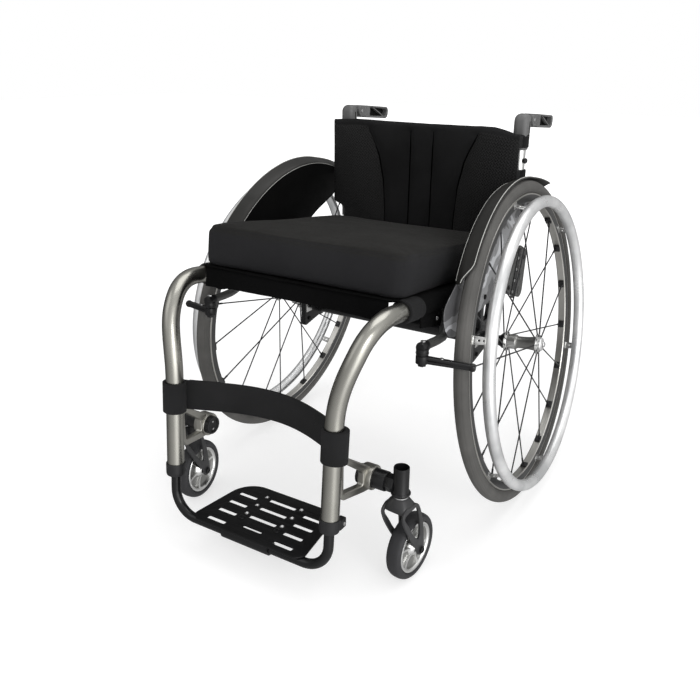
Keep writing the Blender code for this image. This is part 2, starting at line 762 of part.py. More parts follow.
def make_back_bracket(name, side):
    """Perforated plate on the rail, with the post's foot and the fold hinge's two ears."""
    corners = BRACKET_CORNERS
    holes = []
    first_y, first_z = BRACKET_FIRST_HOLE
    for row in range(BRACKET_HOLE_ROWS):
        for column in range(2):
            across = BRACKET_HOLE_PITCH[0] * column + BRACKET_HOLE_SHIFT * row
            place = (first_y + across, first_z + BRACKET_HOLE_PITCH[1] * row)
            holes.append(circle(place, BRACKET_HOLE_RADIUS, 5, 0.2 + row))
    inner_x = RAIL_X + TUBE_RADIUS + GAP
    shape = plate([rounded(corners, BRACKET_CORNER_RADIUS)] + holes, BRACKET_THICKNESS)
    piece = add_piece(
        f"back_bracket_{name}", shape, "grey_plastic", upright(side, inner_x + BRACKET_THICKNESS / 2)
    )
    x = side * RAIL_X
    fuse(piece, rod((x, POST_Y, STUB_FOOT_Z), (x, POST_Y, FOLD_Z), POST_RADIUS))
    pad = sorted((side * (RAIL_X + 0.006), side * (inner_x + 0.001)))
    low = (pad[0], POST_Y - STUB_PAD_HALF, STUB_FOOT_Z + STUB_PAD_RISE)
    fuse(piece, block(low, (pad[1], POST_Y + STUB_PAD_HALF, STUB_PAD_TOP_Z)))
    ears = [side * (RAIL_X - POST_RADIUS + 0.0004), side * (RAIL_X + POST_RADIUS - 0.0004)]
    fuse(piece, rod((ears[0], POST_Y, FOLD_Z), (ears[1], POST_Y, FOLD_Z), POST_RADIUS - 0.0006))
    slot_half = TONGUE_THICKNESS / 2 + GAP
    cheeks = sorted((side * (RAIL_X - slot_half), side * (RAIL_X + slot_half)))
    cut(
        piece,
        block(
            (cheeks[0], POST_Y - 0.02, FOLD_Z - HINGE_SLOT_DEPTH), (cheeks[1], POST_Y + 0.02, FOLD_Z + 0.03)
        ),
    )
    pin = [side * (RAIL_X - 0.0085), side * (RAIL_X + 0.0085)]
    fuse(piece, rod((pin[0], POST_Y, FOLD_Z), (pin[1], POST_Y, FOLD_Z), HINGE_PIN_RADIUS, sides=12))


def make_back_post(name, side, pivot):
    x = side * RAIL_X
    foot = FOLD_Z + POST_FOOT_RISE
    piece = add_piece(
        f"back_post_{name}", rod((x, POST_Y, foot), (x, POST_Y, POST_TOP_Z), POST_RADIUS), "silver_metal",
        pivot=pivot,
    )
    half = TONGUE_THICKNESS / 2
    neck = block((x - half, POST_Y - 0.0085, FOLD_Z), (x + half, POST_Y + 0.0085, foot + 0.006))
    fuse(piece, neck)
    fuse(piece, rod((x - half, POST_Y, FOLD_Z), (x + half, POST_Y, FOLD_Z), TONGUE_RADIUS, sides=20))
    ends = [(x + dx, POST_Y, FOLD_Z) for dx in (-0.02, 0.02)]
    cut(piece, bore_tool(*ends, HINGE_PIN_RADIUS + GAP, sides=12))


def make_back_bar(pivot):
    """Stiffening bar between the posts, bowed back behind the upholstery."""
    reach = RAIL_X - POST_RADIUS - GAP
    rear = POST_Y + 0.030
    path = [Vector((-reach, POST_Y, BACK_BAR_Z)), Vector((-reach + 0.006, POST_Y, BACK_BAR_Z))]
    left = (Vector((-reach + 0.012, POST_Y, BACK_BAR_Z)), Vector((-reach + 0.05, rear, BACK_BAR_Z)))
    path += bezier(left[0], left[0] + Vector((0.02, 0, 0)), left[1] - Vector((0.02, 0, 0)), left[1], 4)
    path += [left[1]]
    path += [Vector((-point.x, point.y, point.z)) for point in reversed(path)]
    add_piece("back_bar", tube(path, BACK_BAR_RADIUS, 2), "black_metal", pivot=pivot)


def outer_seam_x(z):
    """Half the distance between the two outer seams at height z. They spread towards the top."""
    for (low_x, low_z), (high_x, high_z) in zip(BACK_OUTER_SEAM, BACK_OUTER_SEAM[1:]):
        if z <= high_z:
            return low_x + (high_x - low_x) * (z - low_z) / (high_z - low_z)
    return BACK_OUTER_SEAM[-1][0]


def back_columns(z):
    """X of each column of the upholstery at height z, and whether a seam runs down it."""
    outer = outer_seam_x(z)
    stops = [-BACK_HALF_WIDTH, -outer, *BACK_MIDDLE_SEAMS, outer, BACK_HALF_WIDTH]
    made = []
    for start, end, count in zip(stops, stops[1:], BACK_COLUMNS):
        made += [(start + (end - start) * i / count, i == 0 and bool(made)) for i in range(count)]
    return made + [(BACK_HALF_WIDTH, False)]


def make_back_upholstery(pivot):
    """Padded back with sewn channels, narrow below the hinge and held to the posts by wraps."""
    levels = [BACK_BOTTOM_Z, BACK_NOTCH_Z - 0.002, BACK_NOTCH_Z + 0.002, 0.570, 0.640, BACK_TOP_Z]
    bm = bmesh.new()
    rows = []
    for z in levels:
        t = (z - BACK_BOTTOM_Z) / (BACK_TOP_Z - BACK_BOTTOM_Z)
        fullness = math.sin(math.pi * min(max(t, 0.0), 1.0)) ** 0.4
        narrow = BACK_NOTCH_X / BACK_HALF_WIDTH if z < BACK_NOTCH_Z else 1.0
        front, rear = [], []
        for x, seam in back_columns(z):
            share = abs(x) / BACK_HALF_WIDTH
            end = max(0.0, (share - 0.86) / 0.14)
            thickness = BACK_THICKNESS * (0.66 + 0.34 * fullness) * math.sqrt(max(0.12, 1 - end * end))
            middle = BACK_EDGE_Y + BACK_BOW * (1 - share * share) + BACK_THICKNESS / 2
            dip = BACK_TOP_DIP * (1 - share * share) if z == BACK_TOP_Z else 0.0
            sewn = SEAM_DEPTH if seam and z < BACK_YOKE_Z else 0.0
            front.append(bm.verts.new((x * narrow, middle - thickness / 2 + sewn, z - dip)))
            rear.append(bm.verts.new((x * narrow, middle + thickness / 2, z - dip)))
        rows.append(front + rear[::-1])
    for lower, upper in zip(rows, rows[1:]):
        for i in range(len(lower)):
            j = (i + 1) % len(lower)
            bm.faces.new((lower[i], lower[j], upper[j], upper[i]))
    for row in (rows[0], rows[-1]):
        for i in range(len(row) // 2 - 1):
            bm.faces.new((row[i], row[i + 1], row[-2 - i], row[-1 - i]))
    bmesh.ops.recalc_face_normals(bm, faces=bm.faces)
    mesh = mesh_from(bm, "back")
    mesh.shade_smooth()
    piece = add_piece("back_upholstery", mesh, "black_fabric", pivot=pivot)
    ring = POST_RADIUS + WRAP_THICKNESS
    for side in SIDES.values():
        x = side * RAIL_X
        for low, high in WRAP_SPANS:
            fuse(piece, rod((x, POST_Y, low), (x, POST_Y, high), ring, sides=12))
            foot = (x - 0.008, BACK_EDGE_Y + 0.012, low + 0.001)
            fuse(piece, block(foot, (x + 0.008, POST_Y, high - 0.001)))
    for side in SIDES.values():
        x = side * RAIL_X
        cut(piece, bore_tool((x, POST_Y, 0.45), (x, POST_Y, 0.75), POST_RADIUS + GAP, sides=12))


# Push handles

def make_handle_base(name, side, pivot):
    """Sleeve and elbow on the post's top, with the tongue that the handle folds on."""
    x = side * RAIL_X
    sleeve, half = HANDLE_SLEEVE_RADIUS, HANDLE_HALF_WIDTH
    shoulder = HANDLE_HINGE_Y - HANDLE_CHEEK_RADIUS - 0.0012
    piece = add_piece(
        f"handle_base_{name}",
        rod((x, POST_Y, HANDLE_SLEEVE_FOOT_Z), (x, POST_Y, 0.676), sleeve, sides=16),
        "grey_plastic",
        pivot=pivot,
    )
    elbow = [(POST_Y - sleeve, 0.667), (POST_Y + sleeve - 0.001, 0.667), (shoulder, 0.680)]
    elbow += [(shoulder, HANDLE_TOP_Z)]
    elbow += arc((POST_Y - sleeve + 0.013, HANDLE_TOP_Z - 0.013), 0.013, math.pi / 2, math.pi, 4)
    fuse(piece, plate([elbow], 2 * half, 0.003), upright(side, RAIL_X))
    tongue = HANDLE_TONGUE_HALF
    fuse(piece, block((x - tongue, POST_Y, 0.682), (x + tongue, HANDLE_HINGE_Y, 0.6995)))
    hinge = Vector((x, HANDLE_HINGE_Y, HANDLE_HINGE_Z))
    for reach, radius, sides in ((tongue, 0.0092, 16), (half - 0.001, HANDLE_PIN_RADIUS, 8)):
        fuse(piece, rod(hinge - Vector((reach, 0, 0)), hinge + Vector((reach, 0, 0)), radius, sides=sides))
    cut(piece, bore_tool((x, POST_Y, 0.60), (x, POST_Y, POST_TOP_Z + GAP), POST_RADIUS + GAP, sides=16))


def make_push_handle(name, side, pivot):
    """Grip with two cheeks on the base's tongue and triangular pockets in its end."""
    outer, gap_half = HANDLE_HALF_WIDTH, HANDLE_TONGUE_HALF + GAP
    hinge = Vector((side * RAIL_X, HANDLE_HINGE_Y, HANDLE_HINGE_Z))
    slope = math.atan(HANDLE_DROP)
    tilt = Matrix.Translation(hinge) @ Matrix.Rotation(-slope, 4, "X")
    length = (HANDLE_END_Y - HANDLE_HINGE_Y) / math.cos(slope)
    top = HANDLE_TOP_Z - HANDLE_HINGE_Z - 0.001
    bottom = top - GRIP_HEIGHT
    start = HANDLE_CHEEK_RADIUS + 0.0045
    outline = rounded([(start, bottom), (length, bottom), (length, top), (start, top)], 0.009, 3)
    piece = add_piece(
        f"push_handle_{name}", plate([outline], 2 * outer, 0.003), "grey_plastic", tilt @ upright(), pivot
    )
    cheek = arc((0.0, 0.0), HANDLE_CHEEK_RADIUS, math.radians(95), math.radians(265), 7)
    cheek += [(start + 0.012, 0.0008 - HANDLE_CHEEK_RADIUS), (start + 0.012, HANDLE_CHEEK_RADIUS - 0.0008)]
    bore = circle((0.0, 0.0), HANDLE_PIN_RADIUS + GAP, 8)
    thick = outer - 0.0004 - gap_half
    for end in (-1, 1):
        fuse(piece, plate([cheek, bore], thick), tilt @ upright(end, gap_half + thick / 2))
    pockets = [
        [(length - 0.060, -0.0062), (length - 0.034, -0.0062), (length - 0.060, 0.0060)],
        [(length - 0.055, 0.0072), (length - 0.029, -0.0050), (length - 0.029, 0.0072)],
        [(length - 0.025, -0.0062), (length - 0.008, -0.0045), (length - 0.025, 0.0060)],
    ]
    for end in (-1, 1):
        cut(piece, plate(pockets, 0.014), tilt @ upright(end, outer))


# Side guards

def make_side_guard(name, side):
    """Crescent panel beside the wheel with a mudguard rolled out over the tyre."""
    outline = arc((0, 0), GUARD_ARC_RADIUS, FENDER_END - 0.03, FENDER_START, 12) + GUARD_LOBE + GUARD_REAR
    shape = plate([[(forward * -1.0, up) for forward, up in outline]], GUARD_THICKNESS)
    # The outline's X runs along the chair's Y, and its Y runs up the wheel's plane
    lift = Matrix(((0, -side, 0, 0), (1, 0, 0, 0), (0, 0, side, 0), (0, 0, 0, 1)))
    place = wheel_place(side, -GUARD_OFFSET) @ lift
    piece = add_piece(f"side_guard_{name}", shape, "guard_grey", place)

    fold, start = FENDER_FOLD_RADIUS, -GUARD_OFFSET
    profile = [(GUARD_ARC_RADIUS - FENDER_LAP, start)]
    bend = arc((start + fold, FENDER_RADIUS - fold), fold, math.pi, math.pi / 2, 3)
    profile += [(radius, axial) for axial, radius in bend]
    profile += [(FENDER_RADIUS, FENDER_REACH)]
    # A wheel's local Z points outwards, so the left and right sweeps start at opposite ends
    first_turn = -math.pi / 2 - FENDER_END if side > 0 else FENDER_START - math.pi / 2
    sweep = wheel_place(side) @ Matrix.Rotation(first_turn, 4, "Z")
    fender = fuse(piece, profile_mesh(profile, True), sweep)
    add_screw(fender, FENDER_STEPS, FENDER_END - FENDER_START)
    thicken = fender.modifiers.new("Thickness", "SOLIDIFY")
    thicken.thickness = FENDER_THICKNESS
    thicken.offset = 0.0

    wrap = RAIL_X + TUBE_RADIUS + 2 * GAP + SLING_THICKNESS
    for y in STANDOFF_PLACES:
        z = rail_z(y)
        up = (z - HUB_Z) / math.cos(CAMBER)
        plane = HALF_TRACK - up * math.sin(CAMBER) - GUARD_OFFSET
        fuse(piece, rod((side * wrap, y, z), (side * plane, y, z), STANDOFF_RADIUS, sides=12))


# Rear wheels

def make_rear_wheel(name, side, pivot):
    place = wheel_place(side)
    centre = REAR_RADIUS - REAR_TYRE_WIDTH / 2
    section = REAR_TYRE_WIDTH / 2
    seat = RIM_SEAT_RADIUS + GAP
    open_angle = math.pi - math.acos((centre - seat) / section)
    tyre = [(centre + x, y) for x, y in arc((0, 0), section, open_angle, -open_angle, 8)]
    add_turned(f"rear_tyre_{name}", tyre, WHEEL_STEPS, "tyre_grey", place, pivot)

    half, floor = RIM_WIDTH / 2, RIM_SEAT_RADIUS - RIM_DEPTH
    rim = [(RIM_SEAT_RADIUS, half), (floor + RIM_CHAMFER, half), (floor, half - RIM_CHAMFER)]
    rim += [(radius, -height) for radius, height in reversed(rim)]
    add_turned(f"rear_rim_{name}", rim, WHEEL_STEPS, "silver_metal", place, pivot)
    make_hub(name, place, pivot, floor)
    make_handrim(name, place, pivot)


def make_hub(name, place, pivot, rim_floor):
    """Hub shell with its flanges, and crossed spokes that run out to the rim."""
    bore, barrel = AXLE_RADIUS + GAP, HUB_BARREL_RADIUS
    flange, half = HUB_FLANGE_RADIUS, HUB_FLANGE_THICKNESS / 2
    outline = []
    for offset in (HUB_FLANGE_OFFSET, -HUB_FLANGE_OFFSET):
        outline += [(barrel, offset + half), (flange, offset + half)]
        outline += [(flange, offset - half), (barrel, offset - half)]
    profile = [(bore, HUB_OUTER_END), (barrel, HUB_OUTER_END)] + outline
    profile += [(barrel, -HUB_INNER_END), (bore, -HUB_INNER_END)]
    piece = add_turned(f"rear_hub_{name}", profile, 12, "silver_metal", place, pivot)
    bm = bmesh.new()
    for end in (1, -1):
        for i in range(SPOKES_PER_SIDE):
            rim_turn = math.tau * (i + (0.5 if end < 0 else 0.0)) / SPOKES_PER_SIDE + SPOKE_PHASE
            lead = INNER_SPOKE_LEAD if end < 0 else 0.0
            inner = polar(flange - 0.0045, rim_turn + lead, end * HUB_FLANGE_OFFSET)
            outer = polar(rim_floor * math.cos(math.pi / WHEEL_STEPS) - GAP, rim_turn, end * 0.0025)
            add_rod(bm, inner, outer, SPOKE_RADIUS, sides=3)
    fuse(piece, mesh_from(bm, "spokes"), place)


def polar(radius, turn, height):
    return (radius * math.cos(turn), radius * math.sin(turn), height)


def make_handrim(name, place, pivot):
    ring = [(HANDRIM_RADIUS + x, HANDRIM_OFFSET + y) for x, y in circle((0, 0), HANDRIM_TUBE_RADIUS, 8)]
    piece = add_turned(f"handrim_{name}", ring, WHEEL_STEPS, "white_handrim", place, pivot)
    foot = Vector((RIM_SEAT_RADIUS - 0.006, 0.0, RIM_WIDTH / 2 + GAP))
    head = Vector((HANDRIM_RADIUS, 0.0, HANDRIM_OFFSET))
    wide, thick = TAB_WIDTH / 2, TAB_THICKNESS / 2
    for i in range(HANDRIM_TABS):
        turn = Matrix.Rotation(math.tau * i / HANDRIM_TABS + TAB_PHASE, 4, "Z")
        bm = bmesh.new()
        base = [
            bm.verts.new(foot + Vector((dx, dy, 0)))
            for dx, dy in ((-thick, -wide), (thick, -wide), (thick, wide), (-thick, wide))
        ]
        crest = [
            bm.verts.new(head + Vector((dx, dy, 0)))
            for dx, dy in ((-thick, -wide), (thick, -wide), (thick, wide), (-thick, wide))
        ]
        bm.faces.new(base[::-1])
        bm.faces.new(crest)
        for j in range(4):
            k = (j + 1) % 4
            bm.faces.new((base[j], base[k], crest[k], crest[j]))
        bmesh.ops.recalc_face_normals(bm, faces=bm.faces)
        fuse(piece, mesh_from(bm, "tab"), place @ turn)


def make_release_axle(name, side, axle_pivot, button_pivot):
    """Quick-release axle through the hub, with a push button in its head."""
    place = wheel_place(side)
    seat = HUB_OUTER_END + GAP
    top = seat + AXLE_HEAD_THICKNESS
    floor = top - BUTTON_DEPTH - BUTTON_TRAVEL
    well = BUTTON_RADIUS + GAP
    shaft = AXLE_RADIUS
    profile = [(0.0, floor), (well, floor), (well, top), (AXLE_HEAD_RADIUS - 0.001, top)]
    profile += [(AXLE_HEAD_RADIUS, top - 0.001), (AXLE_HEAD_RADIUS, seat), (shaft, seat)]
    profile += [(shaft, -AXLE_INNER_END + 0.003), (shaft - 0.0025, -AXLE_INNER_END), (0.0, -AXLE_INNER_END)]
    add_turned(f"release_axle_{name}", profile, 12, "silver_metal", place, axle_pivot, on_axis=True)
    crown = top + BUTTON_PROUD
    radius = BUTTON_RADIUS
    button = [(0.0, crown), (radius - 0.001, crown), (radius, crown - 0.001)]
    button += [(radius, top - BUTTON_DEPTH), (0.0, top - BUTTON_DEPTH)]
    add_turned(f"release_button_{name}", button, 12, "silver_metal", place, button_pivot, on_axis=True)


# Casters

def make_caster_bracket(name, side):
    """Flat casting welded to the front leg, with a window and a clamp boss behind it."""
    tube_centre = Vector((LEG_X, leg_y(0.215), 0.215))
    boss = Vector((BOSS_X, CASTER_STEM_Y, BARREL_Z))
    run = Vector((boss.x - tube_centre.x, boss.y - tube_centre.y, 0))
    reach = run.length
    turn = math.atan2(run.y, run.x)
    start = TUBE_RADIUS - 0.002
    top = BRACKET_TOP_Z
    heel = (start + STRUT_HEEL[0], STRUT_HEEL[1])
    wall, far = start + STRUT_WALL, reach - STRUT_WINDOW_END
    outline = [(start, top), (start, STRUT_FOOT_Z), heel, (reach - 0.020, STRUT_BOTTOM_Z[0])]
    outline += [(reach - 0.004, STRUT_BOTTOM_Z[1]), (reach - 0.004, STRUT_BOSS_TOP_Z)]
    outline += [(start + STRUT_SHOULDER, top)]
    window = list(zip((wall, far, far, wall), STRUT_WINDOW_Z))
    frame = Matrix(((1, 0, 0, 0), (0, 0, -1, 0), (0, 1, 0, 0), (0, 0, 0, 1)))
    stand = Matrix.Translation((tube_centre.x, tube_centre.y, 0)) @ Matrix.Rotation(turn, 4, "Z") @ frame
    if side < 0:
        run = Vector((-run.x, run.y, 0))
        turn = math.atan2(run.y, run.x)
        stand = Matrix.Translation((-tube_centre.x, tube_centre.y, 0)) @ Matrix.Rotation(turn, 4, "Z") @ frame
    piece = add_piece(
        f"caster_bracket_{name}",
        plate([outline, rounded(window, 0.003, 3)], STRUT_THICKNESS),
        "champagne_metal",
        stand,
    )
    half = BOSS_WIDTH / 2
    ends = [(side * (BOSS_X + shift), CASTER_STEM_Y, BARREL_Z) for shift in (-half, half)]
    fuse(piece, rod(*ends, BOSS_RADIUS, sides=18))
    ends = [(side * (BOSS_X + shift), CASTER_STEM_Y, BARREL_Z) for shift in (-0.03, 0.03)]
    cut(piece, bore_tool(*ends, BARREL_RADIUS + GAP, sides=18))
    low = Vector((side * LEG_X, leg_y(0.10), 0.10))
    high = Vector((side * LEG_X, leg_y(0.30), 0.30))
    cut(piece, bore_tool(low, high, TUBE_RADIUS + GAP, sides=16))


def make_caster_housing(name, side):
    """Clamped barrel, its adapter and the upright bearing housing."""
    stem = Vector((side * CASTER_STEM_X, CASTER_STEM_Y, 0))
    barrel = [(side * x, CASTER_STEM_Y, BARREL_Z) for x in (BARREL_INNER_X, BARREL_OUTER_X)]
    piece = add_piece(f"caster_barrel_{name}", rod(*barrel, BARREL_RADIUS, sides=18), "black_metal")
    skin = CASTER_STEM_X - HOUSING_RADIUS - GAP
    adapter = [(side * x, CASTER_STEM_Y, BARREL_Z) for x in (BARREL_OUTER_X - 0.002, skin + 0.006)]
    fuse(piece, rod(*adapter, ADAPTER_RADIUS, sides=6))
    low, high = stem + Vector((0, 0, 0.12)), stem + Vector((0, 0, 0.26))
    cut(piece, bore_tool(low, high, HOUSING_RADIUS + GAP, sides=16))
    for dz in (-0.007, 0.007):
        depths = (BARREL_INNER_X - 0.01, BARREL_INNER_X + 0.003)
        ends = [(side * x, CASTER_STEM_Y, BARREL_Z + dz) for x in depths]
        cut(piece, bore_tool(*ends, 0.0022, sides=8))

    bore, radius = STEM_RADIUS + GAP, HOUSING_RADIUS
    top, bottom = HOUSING_TOP_Z, HOUSING_BOTTOM_Z
    profile = [(0.0, top - 0.0015), (radius - 0.003, top), (radius, top - 0.002)]
    profile += [(radius, bottom), (bore, bottom), (bore, STEM_TOP_Z + GAP), (0.0, STEM_TOP_Z + GAP)]
    place = Matrix.Translation(stem)
    add_turned(f"caster_housing_{name}", profile, 16, "black_metal", place, on_axis=True)


def caster_place(name, side):
    stem = Matrix.Translation((side * CASTER_STEM_X, CASTER_STEM_Y, 0))
    return stem @ Matrix.Rotation(CASTER_SWIVEL_AT_REST[name], 4, "Z")


def make_caster_fork(name, side, pivot):
    """Two open legs under a crown, with the stem that turns in the housing."""
    place = caster_place(name, side)
    axle_y, axle_z = CASTER_TRAIL, CASTER_RADIUS
    foot = arc((axle_y, axle_z), FORK_EYE_RADIUS, math.radians(195), math.radians(375), 6)
    window = rounded(FORK_WINDOW, 0.004, 2)
    hole = circle((axle_y, axle_z), CASTER_AXLE_RADIUS + 2 * GAP, 8)
    outline = FORK_FRONT + foot + FORK_REAR
    inner, thick = FORK_INNER_HALF, FORK_THICKNESS
    piece = add_piece(
        f"caster_fork_{name}",
        plate([outline, window, hole], thick),
        "black_metal",
        place @ upright(1, inner + thick / 2),
        pivot,
    )
    fuse(piece, plate([outline, window, hole], thick), place @ upright(1, -inner - thick / 2))
    crown = FORK_CROWN_TOP_Z - FORK_CROWN_DEPTH
    half, length = inner + thick - 0.0004, FORK_CROWN_HALF_LENGTH
    fuse(piece, block((-half, -length, crown), (half, length, FORK_CROWN_TOP_Z)), place)
    fuse(piece, rod((0, 0, FORK_CROWN_TOP_Z - 0.004), (0, 0, STEM_TOP_Z), STEM_RADIUS, sides=16), place)
    ends = [(0, 0, FORK_CROWN_TOP_Z - 0.002), (0, 0, HOUSING_BOTTOM_Z - GAP)]
    fuse(piece, rod(*ends, FORK_NECK_RADIUS, sides=16), place)

    reach = inner + thick
    axle = [(-reach - 0.0025, axle_y, axle_z), (reach + 0.0025, axle_y, axle_z)]
    pin = add_piece(
        f"caster_axle_{name}", rod(*axle, CASTER_AXLE_RADIUS, sides=12), "silver_metal", place, pivot
    )
    for end in (-1, 1):
        head = [(end * (reach + GAP), axle_y, axle_z), (end * (reach + 0.0035), axle_y, axle_z)]
        fuse(pin, rod(*head, CASTER_BOLT_RADIUS, sides=6), place)


def make_caster_wheel(name, side, pivot):
    place = caster_place(name, side) @ Matrix.Translation((0, CASTER_TRAIL, CASTER_RADIUS))
    place = place @ Matrix.Rotation(side * math.pi / 2, 4, "Y")
    half, seat = CASTER_WIDTH / 2, CASTER_RIM_RADIUS
    tyre = [(seat + GAP, half - 0.002), (seat + 0.006, half), (CASTER_RADIUS - 0.003, half - 0.0025)]
    tyre += [(CASTER_RADIUS, half - 0.008)]
    tyre += [(radius, -height) for radius, height in reversed(tyre)]
    add_turned(f"caster_tyre_{name}", tyre, CASTER_STEPS, "tyre_black", place, pivot)
    bore, hub, web = CASTER_AXLE_RADIUS + GAP, CASTER_HUB_RADIUS, CASTER_WEB_HALF
    rim = [(bore, half + 0.001), (hub, half + 0.001), (hub + 0.002, web), (seat - CASTER_LIP, web)]
    rim += [(seat, half - 0.0025)]
    rim += [(radius, -height) for radius, height in reversed(rim)]
    add_turned(f"caster_rim_{name}", rim, CASTER_STEPS, "silver_metal", place, pivot)


# Footrest

def make_hoop(pivot):
    """One bent bar: two legs up inside the frame tubes and a bar under the plate."""
    route = []
    corner = Vector((LEG_X, leg_y(HOOP_BOTTOM_Z), HOOP_BOTTOM_Z))
    top = Vector((LEG_X, leg_y(HOOP_LEG_TOP_Z), HOOP_LEG_TOP_Z))
    bend_start = corner + LEG_UP * HOOP_BEND
    centre = bend_start - Vector((HOOP_BEND, 0, 0))
    route.append(top)
    for i in range(7):
        turn = math.pi / 2 * i / 6
        out, down = HOOP_BEND * math.cos(turn), HOOP_BEND * math.sin(turn)
        route.append(centre + Vector((out, 0, 0)) - LEG_UP * down)
    route += [mirrored(point, -1) for point in reversed(route)]
    add_piece("footrest_hoop", tube(route, HOOP_RADIUS, 2), "black_metal", pivot=pivot)


def make_footplate(pivot):
    front, rear = PLATE_FRONT_HALF, PLATE_REAR_HALF
    outline = [(x, PLATE_FRONT_Y) for x in (-front + 0.012, front - 0.012)]
    outline += [(front, PLATE_FRONT_Y + 0.012)]
    corner = PLATE_CORNER
    outline += arc((rear - corner, PLATE_REAR_Y - corner), corner, 0.0, math.pi / 2, 7)
    outline += arc((corner - rear, PLATE_REAR_Y - corner), corner, math.pi / 2, math.pi, 7)
    outline += [(-front, PLATE_FRONT_Y + 0.012)]
    loops = [outline]
    for row in range(4):
        for side in (-1, 1):
            centre = (side * SIDE_SLOT_X, SIDE_SLOT_REAR_Y - SLOT_PITCH * row)
            loops.append(slot(centre, SIDE_SLOT_LENGTH, SLOT_WIDTH))
        last = row == 3
        length, width = (LAST_SLOT_LENGTH, LAST_SLOT_WIDTH) if last else (MIDDLE_SLOT_LENGTH, SLOT_WIDTH)
        loops.append(slot((0.0, MIDDLE_SLOT_REAR_Y - SLOT_PITCH * row), length, width))
    place = Matrix.Translation((0, 0, PLATE_BOTTOM_Z + PLATE_THICKNESS / 2))
    add_piece("footplate", plate(loops, PLATE_THICKNESS), "black_metal", place, pivot)

    y, z = leg_y(HOOP_BOTTOM_Z), HOOP_BOTTOM_Z
    piece = add_piece(
        "footplate_clamp", rod((-CLAMP_HALF, y, z), (CLAMP_HALF, y, z), CLAMP_RADIUS, sides=20),
        "black_metal", pivot=pivot,
    )
    ceiling = PLATE_BOTTOM_Z - GAP
    foot = (-CLAMP_HALF + 0.004, y, ceiling - 0.0055)
    tongue = block(foot, (CLAMP_HALF - 0.004, CLAMP_TONGUE_Y, ceiling + 0.004))
    fuse(piece, tongue)
    cut(piece, block((-0.07, y - 0.03, ceiling), (0.07, y + 0.06, ceiling + 0.02)))
    cut(piece, bore_tool((-0.07, y, z), (0.07, y, z), HOOP_RADIUS + GAP, sides=12))


def make_hoop_collar(name, side):
    """Reducer on the frame tube's foot: it clamps the hoop's leg with one bolt."""
    x = side * LEG_X
    low = Vector((x, leg_y(COLLAR_BOTTOM_Z), COLLAR_BOTTOM_Z))
    high = Vector((x, leg_y(COLLAR_TOP_Z), COLLAR_TOP_Z))
    piece = add_piece(f"hoop_collar_{name}", rod(low, high, COLLAR_RADIUS, sides=16), "black_plastic")
    middle = (low + high) / 2
    ear_low = middle + Vector((side * 0.010 - 0.0055, 0.006, -0.010))
    ear_high = middle + Vector((side * 0.010 + 0.0055, 0.023, 0.006))
    fuse(piece, block(ear_low, ear_high, 0.002))
    shoulder = Vector((x, leg_y(LEG_FOOT_Z), LEG_FOOT_Z)) - LEG_UP * GAP
    cut(piece, bore_tool(shoulder, high + LEG_UP * 0.01, TUBE_RADIUS + GAP, sides=20))
    cut(piece, bore_tool(low - LEG_UP * 0.02, high + LEG_UP * 0.02, HOOP_RADIUS + GAP, sides=12))


def make_calf_strap():
    """Fabric band behind the calves, looped round both front legs."""
    middle = (STRAP_BOTTOM_Z + STRAP_TOP_Z) / 2
    height = (STRAP_TOP_Z - STRAP_BOTTOM_Z) / LEG_UP.z
    place = Matrix.Translation((0, leg_y(middle), middle)) @ Matrix.Rotation(-math.atan(LEG_LEAN), 4, "X")
    inner = TUBE_RADIUS + GAP
    outer = inner + STRAP_THICKNESS
    count = 13
    span = LEG_X - 0.002
    front, rear = [], []
    for i in range(count):
        x = span * (2 * i / (count - 1) - 1)
        bow = (outer - STRAP_THICKNESS) + STRAP_BOW * (1 - (x / span) ** 2) ** 1.3
        front.append((x, bow + 0.0002))
        rear.append((x, bow + STRAP_THICKNESS - 0.0002))
    piece = add_piece("calf_strap", plate([front + rear[::-1]], height), "black_fabric", place)
    for side in (-1, 1):
        ends = [(side * LEG_X, 0, end * (height / 2 + 0.0004)) for end in (-1, 1)]
        ring = rod(*ends, outer, sides=14)
        fuse(piece, ring, place)
    for side in (-1, 1):
        hollow = bore_tool((side * LEG_X, 0, -height), (side * LEG_X, 0, height), inner, sides=14)
        cut(piece, hollow, place)


# Brakes

